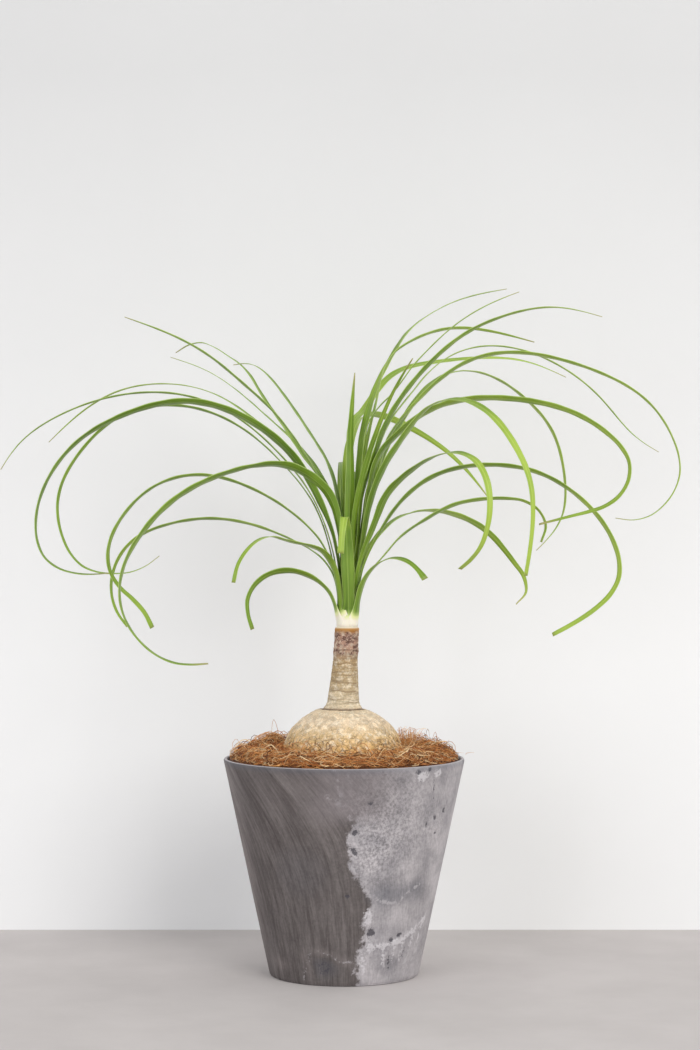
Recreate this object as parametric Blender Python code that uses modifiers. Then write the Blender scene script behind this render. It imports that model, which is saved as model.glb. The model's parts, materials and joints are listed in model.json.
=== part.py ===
"""Potted ponytail palm: a planter, its soil and coir mulch, the swollen stem and every leaf of the crown.

Blender 4.5, metres, +Z up. The origin is the centre of the planter's underside, +X is the plant's right
and -Y its front. Each separate piece is one object, named for the piece.
"""

import math
from dataclasses import dataclass

import bpy
import numpy as np
from mathutils import Vector

MM = 0.001
GAP = 0.3 * MM                 # left between pieces that touch

# Planter: a tapered tub, turned
POT_HEIGHT = 181 * MM
POT_TOP_RADIUS = 101 * MM
POT_BASE_RADIUS = 63 * MM
POT_WALL = 3.6 * MM
POT_FLOOR = 5 * MM
POT_FOOT_ROUND = 3 * MM
POT_RIM_ROUND = 1.2 * MM
POT_RIM_FLAT = 1.6 * MM        # the level part of the rim's top
POT_STEPS = 72

# Soil and mulch, both turned rings or plugs that fill the planter
SOIL_TOP = 163 * MM
MULCH_RIM_DROP = 3.2 * MM      # how far the mulch lies below the rim at the wall
MULCH_CROWN = 187 * MM         # the highest the mulch is mounded
MULCH_CROWN_RADIUS = 74 * MM
# (radius, depth under the highest mulch) of its inner and its outer slope
MULCH_INNER_SLOPE = (62 * MM, 1.2 * MM)
MULCH_OUTER_SLOPE = (86 * MM, 3.5 * MM)
MULCH_BULB_RISE = 0.5 * MM     # how far the mulch reaches above the caudex's widest place
FILL_STEPS = 48

# The hollow that the caudex sits in, through the soil and the mulch
HOLLOW_CLEARANCE = 2.2 * MM    # between the caudex and its hollow, all round
HOLLOW_UNDER = 1.0 * MM        # under the caudex
HOLLOW_RINGS = 6

# Caudex: the swollen foot of the stem, an ellipsoid sunk half way into the mulch
BULB_CENTRE = Vector((-1.3 * MM, 0.0, 183 * MM))
BULB_RADIUS = 51 * MM
BULB_HALF_HEIGHT = 42 * MM
BULB_STEPS = 48
BULB_RINGS = 14

# Stem: stands on the caudex and leans a little to the right
STEM_FOOT = Vector((-1.3 * MM, 0.0, 217 * MM))
STEM_LEAN = math.radians(3.0)
STEM_STEPS = 32
# (radius, height above the foot) up the stem: flared foot, waist, scar ridge, neck, hidden growing point
STEM_PROFILE_MM = ((16.4, 0), (17.2, 4.4), (16.6, 6.2), (14.4, 8.4), (13.4, 11), (12.7, 18), (11.6, 29),
                   (10.6, 40), (10.2, 49), (10.9, 54), (10.3, 59), (10.1, 68), (9.8, 74), (8.6, 77),
                   (6.8, 96), (5.0, 122), (3.4, 142))
STEM_ROOT = -8 * MM            # how far the stem's foot is sunk into the caudex to join it

# Crown: where the leaves leave the growing point, from the lowest to the youngest
CROWN_X = 3.0 * MM             # the crown's axis, carried sideways by the stem's lean
LEAF_FIRST_HEIGHT = 296 * MM
LEAF_LAST_HEIGHT = 356 * MM
LEAF_FOOT_WIDTH = 2.4 * MM
LEAF_KEEL_AT_FOOT = 0.9 * MM
LEAF_KEEL_AT_TIP = 0.45 * MM
LEAF_STEP = 14 * MM            # the aim for the distance between a leaf's sections
LEAF_SECTIONS = (12, 40)       # the fewest and most sections of one leaf
THREAD_TIP = 0.7               # width in mm where a leaf runs out into a thread
ROLL_START = 0.15              # parts of the leaf's length over which the blade takes its roll
ROLL_SPAN = 0.40
FOOT_SHIFT_SPAN = 1.0 / 6.0    # part of the length over which the leaning stem's foot joins the crown's axis
HEADING_STEP = 0.004           # part of the length on each side from which a leaf's heading is taken
# (part of the leaf's length, part of its full width) from the foot's end to just before the tip
BLADE_WIDTHS = ((0.08, 0.45), (0.16, 0.72), (0.30, 1.0), (0.45, 0.95), (0.70, 0.72), (0.88, 0.45))


@dataclass(frozen=True)
class Leaf:
    """One leaf: a strap on a curved way in an upright plane through the crown's axis.

    azimuth turns that plane, 0 towards +X and 90 towards the back. way lists (reach from the axis, height
    above the floor) in mm, from the crown out to the tip. sway turns the plane further by the tip, and
    roll turns the blade about its own length by mid-leaf. tip is the width in mm that the leaf ends with.
    """

    azimuth: float
    way: tuple
    width: float = 7.0
    roll: float = 0.0
    sway: float = 0.0
    tip: float = THREAD_TIP


# The leaves in the order they grew: the first is the lowest and oldest on the stem.
LEAVES = (
    Leaf(200, ((16, 319), (29, 331), (47, 338), (66, 337), (80, 329), (88, 316), (84, 290)), 6.5, 35, tip=3.4),
    Leaf(-34, ((15, 327), (30, 344), (43, 349), (56, 348), (66, 343), (77, 332)), 6.5, 10, tip=4.6),
    Leaf(222, ((14, 338), (27, 354), (46, 360), (68, 364), (90, 367), (105, 360), (118, 347), (124, 330)),
         6.0, 20, tip=3.2),
    Leaf(4, ((16, 333), (29, 349), (44, 366), (64, 380), (88, 393), (110, 398), (136, 399), (156, 394),
             (168, 375), (164, 362)), 6.0, -30, tip=2.4),
    Leaf(276, ((13, 330), (15, 356), (18, 376), (22, 384), (27, 380), (30, 366), (31, 353)), 8.5, 0,
         sway=-17, tip=5.2),
    Leaf(166, ((12, 333), (24, 350), (46, 363), (74, 374), (117, 382), (159, 377), (194, 360), (210, 324),
               (203, 299), (195, 289)), 6.5, 25, tip=3.0),
    Leaf(30, ((11, 336), (28, 366), (50, 383), (79, 389), (109, 385), (140, 371), (166, 346), (181, 319),
              (170, 307)), 7.0, -35),
    Leaf(196, ((12, 336), (23, 362), (41, 381), (62, 396), (88, 409), (126, 418), (164, 409), (190, 386),
               (204, 352), (199, 332), (176, 308), (167, 292)), 7.5, 50, tip=4.0),
    Leaf(-20, ((13, 340), (27, 368), (42, 390), (76, 417), (123, 426), (164, 420), (204, 396), (228, 365),
               (233, 333), (213, 308), (178, 287)), 7.5, -25, tip=2.6),
    Leaf(87, ((12, 345), (24, 380), (52, 412), (92, 424), (132, 412), (158, 384), (168, 352)), 7.0, 15),
    Leaf(171, ((14, 350), (30, 396), (55, 428), (80, 451), (108, 468), (145, 478), (197, 469), (230, 441),
               (251, 400), (249, 372), (229, 341), (200, 335), (181, 338), (162, 350)), 6.5, 30),
    Leaf(-47, ((14, 344), (34, 380), (45, 399), (62, 413), (94, 429), (125, 435), (152, 426), (165, 400),
               (164, 380), (155, 359), (132, 341)), 8.0, 0, tip=3.4),
    Leaf(181, ((14, 360), (33, 406), (57, 436), (90, 465), (127, 483), (164, 488), (194, 485), (241, 469),
               (278, 442), (291, 423)), 6.0, 15),
    Leaf(93, ((12, 352), (24, 392), (50, 422), (86, 432), (122, 418), (146, 388), (156, 354)), 7.0, -15),
    Leaf(-38, ((14, 354), (26, 401), (42, 430), (60, 451), (88, 475), (119, 478), (147, 465), (169, 441),
               (184, 412), (187, 386), (180, 336)), 7.5, 0, tip=3.0),
    Leaf(152, ((13, 362), (34, 411), (66, 447), (92, 468), (133, 491), (179, 500), (236, 493), (285, 466),
               (304, 451)), 6.0, 15),
    Leaf(-27, ((13, 362), (21, 408), (31, 437), (48, 453), (71, 469), (105, 479), (151, 479), (192, 471),
               (231, 451), (252, 421), (241, 398), (212, 386), (174, 377)), 7.5, -25, tip=1.6),
    Leaf(192, ((12, 364), (27, 403), (44, 431), (67, 453), (94, 469), (133, 479), (187, 468), (229, 443),
               (253, 410), (261, 377), (253, 349), (222, 336), (199, 337)), 7.5, 35),
    Leaf(31, ((13, 366), (27, 414), (39, 443), (56, 468), (74, 490), (104, 508), (138, 508), (184, 486),
              (210, 461), (224, 422), (222, 385), (194, 354)), 7.0, -20),
    Leaf(14, ((12, 378), (19, 414), (28, 445), (40, 469), (53, 485), (75, 510), (108, 527), (145, 528),
             (180, 517), (227, 484), (257, 453), (278, 440)), 6.5, -25),
    Leaf(206, ((9, 378), (17, 402), (34, 417), (56, 426), (80, 426), (117, 417), (157, 397), (184, 371),
               (202, 338), (203, 312), (188, 284), (155, 264), (127, 263)), 8.0, 25, tip=1.6),
    Leaf(-9, ((12, 374), (20, 400), (26, 420), (35, 450), (48, 468), (71, 492), (104, 514), (141, 520),
              (178, 514), (215, 501), (250, 479), (272, 446), (277, 420), (265, 394), (244, 381), (224, 382)),
         7.0, -30),
    Leaf(136, ((12, 376), (23, 405), (42, 430), (62, 447), (96, 470), (127, 490), (167, 511), (222, 528)),
         5.0, 20),
    Leaf(-62, ((11, 380), (28, 420), (40, 439), (56, 460), (75, 481), (91, 495), (111, 510)), 4.0, -10),
    Leaf(-24, ((10, 378), (16, 411), (24, 433), (32, 455), (47, 480), (75, 511), (106, 534), (142, 548),
               (185, 553), (224, 544)), 7.0, -20),
    Leaf(148, ((11, 382), (19, 406), (41, 432), (65, 462), (88, 490), (104, 511), (122, 523), (155, 536),
               (178, 528)), 6.0, 20),
    Leaf(29, ((10, 384), (16, 430), (21, 457), (28, 482), (39, 516), (63, 534), (103, 546), (131, 546),
              (187, 537)), 5.5, -15),
    Leaf(130, ((12, 396), (26, 429), (42, 447), (65, 470), (90, 493), (114, 511), (131, 518), (158, 519)),
         6.0, 15),
    Leaf(164, ((9, 390), (23, 414), (45, 448), (70, 477), (95, 499), (120, 519), (147, 535), (200, 556)),
         6.0, 20),
    Leaf(51, ((10, 390), (15, 421), (19, 447), (28, 474), (40, 497), (56, 517), (80, 542), (101, 555),
              (158, 577), (230, 592)), 7.0, -15),
    Leaf(14, ((8, 396), (13, 436), (18, 463), (29, 478), (42, 491), (52, 505), (67, 522), (96, 548),
              (131, 568), (151, 576)), 5.0, -20),
    Leaf(114, ((8, 400), (19, 430), (32, 452), (42, 463), (61, 472), (80, 472), (111, 461), (139, 438),
               (155, 400)), 6.0, 0, sway=-77),
    Leaf(83, ((6, 400), (6, 440), (10, 460), (31, 473), (55, 492), (75, 506), (126, 520), (178, 526),
              (220, 523), (250, 510)), 5.0, -20, sway=-45),
    Leaf(276, ((7, 392), (6, 425), (5, 445), (6, 465), (8, 485), (10, 504)), 8.5, 10, sway=30),
)


def new_collection(name):
    """Add a collection with this name to the scene."""
    collection = bpy.data.collections.new(name)
    bpy.context.scene.collection.children.link(collection)
    return collection


def new_object(name, mesh, collection):
    """Add an object for this mesh to the collection."""
    obj = bpy.data.objects.new(name, mesh)
    collection.objects.link(obj)
    return obj


def plain_material(name, colour, roughness):
    """A dielectric material of one linear colour."""
    material = bpy.data.materials.new(name)
    material.use_nodes = True
    shader = material.node_tree.nodes["Principled BSDF"]
    shader.inputs["Base Color"].default_value = (*colour, 1.0)
    shader.inputs["Roughness"].default_value = roughness
    shader.inputs["Metallic"].default_value = 0.0
    return material


def arc(centre, radius, start, end, steps):
    """Points (radius, height) on a circular arc, with its angles in degrees from the outward direction."""
    angles = np.radians(np.linspace(start, end, steps + 1))
    return [(centre[0] + radius * math.cos(a), centre[1] + radius * math.sin(a)) for a in angles]


def turned(name, profile, steps, collection, material):
    """Turn an open or closed profile of (radius, height) about Z into one solid.

    The profile runs down the solid's outer side.
    """
    closed = profile[0][0] > 0
    edges = [(i, i + 1) for i in range(len(profile) - 1)]
    if closed:
        edges.append((len(profile) - 1, 0))
    mesh = bpy.data.meshes.new(name)
    mesh.from_pydata([(radius, 0.0, height) for radius, height in profile], edges, [])
    obj = new_object(name, mesh, collection)
    obj.data.materials.append(material)
    screw = obj.modifiers.new("turn", "SCREW")
    screw.steps = steps
    screw.render_steps = steps
    screw.use_merge_vertices = True
    screw.merge_threshold = 0.01 * MM
    screw.use_smooth_shade = True
    return obj


def pot_inner_radius(height):
    """Radius of the planter's inside wall at a height above the floor it stands on."""
    return POT_BASE_RADIUS - POT_WALL + (POT_TOP_RADIUS - POT_BASE_RADIUS) * height / POT_HEIGHT


def bulb_radius_at(height):
    """Radius of the caudex at a height above the floor."""
    level = (height - BULB_CENTRE.z) / BULB_HALF_HEIGHT
    return BULB_RADIUS * math.sqrt(max(0.0, 1.0 - level * level))


def build_pot(collection):
    """The tapered planter with a closed floor, a softened rim and a rounded foot."""
    rim_middle = POT_TOP_RADIUS - POT_WALL / 2
    rim = [(POT_TOP_RADIUS - POT_WALL, POT_HEIGHT - POT_RIM_ROUND),
           (rim_middle - POT_RIM_FLAT / 2, POT_HEIGHT),
           (rim_middle + POT_RIM_FLAT / 2, POT_HEIGHT),
           (POT_TOP_RADIUS, POT_HEIGHT - POT_RIM_ROUND)]
    foot = arc((POT_BASE_RADIUS - POT_FOOT_ROUND, POT_FOOT_ROUND), POT_FOOT_ROUND, 0, -90, 4)
    profile = [(0.0, POT_FLOOR), (pot_inner_radius(POT_FLOOR), POT_FLOOR)] + rim + foot + [(0.0, 0.0)]
    stone = plain_material("stone_composite", (0.16, 0.15, 0.15), 0.7)
    return turned("pot", profile, POT_STEPS, collection, stone)


def build_soil(collection):
    """The plug of potting soil, with the hollow that the caudex sits in."""
    low = POT_FLOOR + GAP
    hollow = []
    bulb_bottom = BULB_CENTRE.z - BULB_HALF_HEIGHT
    for step in range(HOLLOW_RINGS + 1):
        level = SOIL_TOP - (SOIL_TOP - bulb_bottom) * step / HOLLOW_RINGS
        radius = bulb_radius_at(level) + HOLLOW_CLEARANCE if step < HOLLOW_RINGS else 0.0
        hollow.append((radius, level - HOLLOW_UNDER))
    hollow[0] = (hollow[0][0], SOIL_TOP)
    profile = hollow[::-1] + [(pot_inner_radius(SOIL_TOP) - GAP, SOIL_TOP),
                              (pot_inner_radius(low) - GAP, low), (0.0, low)]
    soil = plain_material("soil", (0.03, 0.02, 0.013), 0.95)
    return turned("potting_soil", profile, FILL_STEPS, collection, soil)


def build_mulch(collection):
    """The ring of coir mulch between the wall and the caudex, mounded a little above the rim."""
    low = SOIL_TOP + GAP
    wall_top = POT_HEIGHT - MULCH_RIM_DROP
    inner = bulb_radius_at(BULB_CENTRE.z) + HOLLOW_CLEARANCE
    profile = [(inner, low), (inner, BULB_CENTRE.z + MULCH_BULB_RISE),
               (MULCH_INNER_SLOPE[0], MULCH_CROWN - MULCH_INNER_SLOPE[1]),
               (MULCH_CROWN_RADIUS, MULCH_CROWN),
               (MULCH_OUTER_SLOPE[0], MULCH_CROWN - MULCH_OUTER_SLOPE[1]),
               (pot_inner_radius(wall_top) - GAP, wall_top), (pot_inner_radius(low) - GAP, low)]
    coir = plain_material("coir", (0.35, 0.15, 0.06), 0.9)
    return turned("coir_mulch", profile, FILL_STEPS, collection, coir)


def stem_radius_at(height):
    """Radius of the stem and its growing point at a height above the floor."""
    heights = [STEM_FOOT.z + point[1] * MM for point in STEM_PROFILE_MM]
    return float(np.interp(height, heights, [point[0] * MM for point in STEM_PROFILE_MM]))


def build_trunk(collection, cutters):
    """The caudex and the stem, which grew as one piece, with the growing point inside the crown."""
    bark = plain_material("bark", (0.55, 0.38, 0.20), 0.75)
    angles = np.linspace(math.pi / 2, -math.pi / 2, BULB_RINGS + 1)
    bulb_profile = [(BULB_RADIUS * math.cos(a), BULB_HALF_HEIGHT * math.sin(a)) for a in angles]
    bulb_profile[0] = (0.0, bulb_profile[0][1])
    bulb_profile[-1] = (0.0, bulb_profile[-1][1])
    bulb = turned("trunk_and_bulb", bulb_profile, BULB_STEPS, collection, bark)
    bulb.location = BULB_CENTRE

    top = STEM_PROFILE_MM[-1][1] * MM
    stem_profile = [(0.0, top)] + [(r * MM, z * MM) for r, z in reversed(STEM_PROFILE_MM)]
    stem_profile += [(STEM_PROFILE_MM[0][0] * MM, STEM_ROOT), (0.0, STEM_ROOT)]
    stem = turned("stem_joined_to_bulb", stem_profile, STEM_STEPS, cutters, bark)
    stem.location = STEM_FOOT
    stem.rotation_euler = (0.0, STEM_LEAN, 0.0)
    stem.hide_render = True
    stem.display_type = "WIRE"

    join = bulb.modifiers.new("stem", "BOOLEAN")
    join.operation = "UNION"
    join.solver = "EXACT"
    join.object = stem
    return bulb


def smooth_way(points):
    """A natural cubic spline through the points.

    Returns a function of the part of the chord length, 0 to 1, and the chord length.
    """
    points = np.array(points, dtype=float)
    chords = np.linalg.norm(np.diff(points, axis=0), axis=1)
    knots = np.concatenate([[0.0], np.cumsum(chords)])
    count = len(points)
    matrix = np.eye(count)
    right = np.zeros_like(points)
    for i in range(1, count - 1):
        matrix[i, i - 1:i + 2] = (chords[i - 1], 2 * (chords[i - 1] + chords[i]), chords[i])
        right[i] = 6 * ((points[i + 1] - points[i]) / chords[i] - (points[i] - points[i - 1]) / chords[i - 1])
    bends = np.linalg.solve(matrix, right)

    def at(part):
        place = part * knots[-1]
        i = min(int(np.searchsorted(knots, place, side="right")) - 1, count - 2)
        before, after, chord = place - knots[i], knots[i + 1] - place, chords[i]
        return (bends[i] * after ** 3 / (6 * chord) + bends[i + 1] * before ** 3 / (6 * chord)
                + (points[i] / chord - bends[i] * chord / 6) * after
                + (points[i + 1] / chord - bends[i + 1] * chord / 6) * before)

    return at, knots[-1]


def leaf_sections(leaf, attach_height):
    """The leaf's three-cornered sections from foot to tip: two edges on top and a keel below."""
    stem_lean_x = STEM_FOOT.x + math.tan(STEM_LEAN) * (attach_height - STEM_FOOT.z)
    foot_reach = stem_radius_at(attach_height) + 2 * GAP
    way, length = smooth_way([(foot_reach / MM, attach_height / MM)] + list(leaf.way))
    fewest, most = LEAF_SECTIONS
    count = max(fewest, min(most, round(length * MM / LEAF_STEP)))
    parts = [0.0] + [widths[0] for widths in BLADE_WIDTHS] + [1.0]
    widths = [LEAF_FOOT_WIDTH / MM] + [leaf.width * share for _, share in BLADE_WIDTHS] + [leaf.tip]

    def centre(part):
        reach, height = way(part) * MM
        azimuth = math.radians(leaf.azimuth + leaf.sway * part)
        axis_x = CROWN_X + (stem_lean_x - CROWN_X) * max(0.0, 1.0 - part / FOOT_SHIFT_SPAN)
        return Vector((axis_x + reach * math.cos(azimuth), reach * math.sin(azimuth), height))

    sections = []
    for index in range(count):
        part = index / (count - 1)
        ahead = centre(min(1.0, part + HEADING_STEP))
        behind = centre(max(0.0, part - HEADING_STEP))
        along = (ahead - behind).normalized()
        azimuth = math.radians(leaf.azimuth + leaf.sway * part)
        across = Vector((-math.sin(azimuth), math.cos(azimuth), 0.0))
        across = (across - along * across.dot(along)).normalized()
        upward = along.cross(across)
        roll = math.radians(leaf.roll) * min(1.0, max(0.0, part - ROLL_START) / ROLL_SPAN)
        side = across * math.cos(roll) + upward * math.sin(roll)
        face = upward * math.cos(roll) - across * math.sin(roll)
        half = float(np.interp(part, parts, widths)) * MM / 2
        keel = LEAF_KEEL_AT_FOOT + (LEAF_KEEL_AT_TIP - LEAF_KEEL_AT_FOOT) * part
        middle = centre(part)
        sections.append((middle - side * half, middle - face * keel, middle + side * half))
    return sections


def build_leaf(name, leaf, attach_height, collection, material):
    """Loft one leaf through its sections, which narrow from a strap to a thread, and close both ends."""
    sections = leaf_sections(leaf, attach_height)
    points = [corner for section in sections for corner in section]
    faces = [(2, 1, 0)]
    for ring in range(len(sections) - 1):
        for corner in range(3):
            here = 3 * ring + corner
            beside = 3 * ring + (corner + 1) % 3
            faces.append((here, beside, beside + 3, here + 3))
    last = 3 * (len(sections) - 1)
    faces.append((last, last + 1, last + 2))
    mesh = bpy.data.meshes.new(name)
    mesh.from_pydata(points, [], faces)
    mesh.materials.append(material)
    return new_object(name, mesh, collection)


def build_crown(collection):
    """Every leaf, on a climbing row of feet up the growing point."""
    green = plain_material("leaf", (0.16, 0.30, 0.05), 0.5)
    climb = (LEAF_LAST_HEIGHT - LEAF_FIRST_HEIGHT) / (len(LEAVES) - 1)
    for index, leaf in enumerate(LEAVES):
        build_leaf(f"leaf_{index + 1:02d}", leaf, LEAF_FIRST_HEIGHT + climb * index, collection, green)


def main():
    """Clear the scene and build the whole plant."""
    for obj in list(bpy.data.objects):
        bpy.data.objects.remove(obj, do_unlink=True)
    pieces = new_collection("potted_ponytail_palm")
    cutters = new_collection("joined_shapes")
    build_pot(pieces)
    build_soil(pieces)
    build_mulch(pieces)
    build_trunk(pieces, cutters)
    build_crown(pieces)
    bpy.context.view_layer.update()


main()
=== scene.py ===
"""Looks of a potted ponytail palm: stone-composite planter, soil, coir mulch, swollen stem and 34 leaves.

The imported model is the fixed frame. Each sub-assembly is a class that reads its place from the frame's
nodes, builds its visible meshes and dresses them; each finish is a class that makes one material.
Metres, +Z up, -Y is the plant's front and +X its right.
"""

import json
import logging
import math
from collections.abc import Callable
from dataclasses import dataclass, field
from enum import Enum
from functools import partial

import bmesh
import bpy
import numpy as np
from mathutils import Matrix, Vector, noise

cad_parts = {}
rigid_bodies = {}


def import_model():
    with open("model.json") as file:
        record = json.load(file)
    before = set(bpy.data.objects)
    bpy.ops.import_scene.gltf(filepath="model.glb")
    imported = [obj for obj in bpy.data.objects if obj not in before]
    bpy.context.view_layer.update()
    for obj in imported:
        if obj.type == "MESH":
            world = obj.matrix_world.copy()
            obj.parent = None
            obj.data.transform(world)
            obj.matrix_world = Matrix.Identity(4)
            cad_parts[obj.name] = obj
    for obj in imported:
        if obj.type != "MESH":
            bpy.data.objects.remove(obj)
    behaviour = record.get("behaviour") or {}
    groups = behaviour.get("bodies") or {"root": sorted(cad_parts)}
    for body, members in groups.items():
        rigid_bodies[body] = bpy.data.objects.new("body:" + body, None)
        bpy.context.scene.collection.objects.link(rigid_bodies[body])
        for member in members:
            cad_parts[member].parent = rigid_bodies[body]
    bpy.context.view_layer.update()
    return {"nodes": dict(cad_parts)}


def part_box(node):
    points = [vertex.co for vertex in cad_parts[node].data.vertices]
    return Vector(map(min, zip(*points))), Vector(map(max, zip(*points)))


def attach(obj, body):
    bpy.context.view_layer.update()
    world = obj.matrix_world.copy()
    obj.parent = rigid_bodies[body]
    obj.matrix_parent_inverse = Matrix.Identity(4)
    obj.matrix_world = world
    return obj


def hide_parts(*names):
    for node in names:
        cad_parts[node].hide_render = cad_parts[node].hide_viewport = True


LOG = logging.getLogger("ponytail_palm")
MM = 0.001
BODY = "root"
SEED = 20

for leftover in list(bpy.data.objects):
    bpy.data.objects.remove(leftover, do_unlink=True)
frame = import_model()


# ---------------------------------------------------------------- colours, nodes and meshes


def linear(colour: str) -> tuple[float, float, float, float]:
    """Turn an sRGB hex colour into linear light.

    Args:
        colour: "#rrggbb".

    Returns:
        Linear red, green and blue, with an alpha of 1.
    """
    shares = [int(colour[i:i + 2], 16) / 255 for i in (1, 3, 5)]
    light = [s / 12.92 if s <= 0.04045 else ((s + 0.055) / 1.055) ** 2.4 for s in shares]
    return (*light, 1.0)


def per_metre(millimetres: float) -> float:
    """Pattern scale, in repeats per metre, of a feature of this size in mm."""
    return 1000.0 / millimetres


def add_node(tree: bpy.types.NodeTree, kind: str, inputs: dict | None = None, stops: tuple = (),
             out: int | str = 0, **settings: object) -> bpy.types.NodeSocket:
    """Add a shader node with its settings, values and links.

    Args:
        tree: The node tree it goes in.
        kind: The node's type, without its "ShaderNode" prefix.
        inputs: Socket name or number against a value, an sRGB hex colour, or the socket that feeds it.
        stops: (position, sRGB hex colour) of each stop, for a colour ramp.
        out: Name or number of the output that is wanted.
        settings: The node's own properties.

    Returns:
        That output's socket.
    """
    made = tree.nodes.new("ShaderNode" + kind)
    for name, value in settings.items():
        setattr(made, name, value)
    for name, value in (inputs or {}).items():
        if isinstance(value, bpy.types.NodeSocket):
            tree.links.new(value, made.inputs[name])
        else:
            made.inputs[name].default_value = linear(value) if isinstance(value, str) else value
    for index, (position, colour) in enumerate(stops):
        ramp = made.color_ramp.elements
        stop = ramp[index] if index < len(ramp) else ramp.new(position)
        stop.position = position
        stop.color = linear(colour)
    return made.outputs[out]


def new_finish(name: str) -> tuple[bpy.types.Material, Callable, Callable, bpy.types.Node]:
    """Start a material.

    Args:
        name: The real material's name.

    Returns:
        The material, what adds a node to it, what links two of its sockets, and its Principled shader.
    """
    material = bpy.data.materials.new(name)
    material.use_nodes = True
    tree = material.node_tree
    return material, partial(add_node, tree), tree.links.new, tree.nodes["Principled BSDF"]


def deselect_all() -> None:
    """Leave edit mode's and the frame's selection behind."""
    bpy.ops.object.select_all(action="DESELECT")


def make_active(obj: bpy.types.Object) -> None:
    """Select only this object and make it the active one."""
    deselect_all()
    obj.select_set(True)
    bpy.context.view_layer.objects.active = obj


def apply_modifier(obj: bpy.types.Object, kind: str, **settings: object) -> None:
    """Add a modifier to an object and apply it.

    Args:
        obj: The object.
        kind: The modifier's type, such as "SOLIDIFY".
        settings: The modifier's properties.
    """
    make_active(obj)
    modifier = obj.modifiers.new(kind.title(), kind)
    for name, value in settings.items():
        setattr(modifier, name, value)
    bpy.ops.object.modifier_apply(modifier=modifier.name)


def points_of(mesh: bpy.types.Mesh) -> np.ndarray:
    """All vertex places of a mesh, one row each."""
    flat = np.empty(len(mesh.vertices) * 3)
    mesh.vertices.foreach_get("co", flat)
    return flat.reshape(-1, 3)


def set_points(mesh: bpy.types.Mesh, points: np.ndarray) -> None:
    """Move all vertices of a mesh to these rows."""
    mesh.vertices.foreach_set("co", points.astype(np.float32).ravel())
    mesh.update()


def set_attribute(mesh: bpy.types.Mesh, name: str, values: np.ndarray) -> None:
    """Store one number, or one vector, for each vertex.

    Args:
        mesh: The mesh.
        name: The attribute's name, which its material reads.
        values: One number or one row of three for each vertex.
    """
    kind, key = ("FLOAT", "value") if values.ndim == 1 else ("FLOAT_VECTOR", "vector")
    attribute = mesh.attributes.new(name, kind, "POINT")
    attribute.data.foreach_set(key, values.astype(np.float32).ravel())


def cloud(points: np.ndarray, size_mm: float, octaves: int = 3, seed: float = 0.0) -> np.ndarray:
    """Smooth noise of about -1 to 1 at each point.

    Args:
        points: Rows of x, y and z.
        size_mm: The size of the largest lumps.
        octaves: How many finer layers it has.
        seed: Moves the pattern elsewhere.

    Returns:
        One number for each point.
    """
    rows = points * per_metre(size_mm) + seed
    return np.array([noise.fractal(row, 1.0, 2.0, octaves) for row in rows])


def ramp(values: np.ndarray, low: float, high: float) -> np.ndarray:
    """Smooth 0 to 1 as values go from low to high."""
    share = np.clip((values - low) / (high - low), 0.0, 1.0)
    return share * share * (3 - 2 * share)


def finish_piece(obj: bpy.types.Object, slot: str, materials: list[bpy.types.Material],
                 nodes: tuple[str, ...] = ()) -> None:
    """Dress a piece, hang it on the frame and say what it stands for.

    Args:
        obj: The piece, in its place.
        slot: The record's material slot that the piece stands for; it is only written to the log.
        materials: Its materials, in the order of its face indices.
        nodes: The CAD nodes that it replaces.
    """
    obj.data.materials.clear()
    for material in materials:
        obj.data.materials.append(material)
    obj.data.shade_smooth()
    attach(obj, BODY)
    if nodes:
        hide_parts(*nodes)
    LOG.info("%s: %d faces, %s", obj.name, len(obj.data.polygons), slot)


# ---------------------------------------------------------------- finishes


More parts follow.
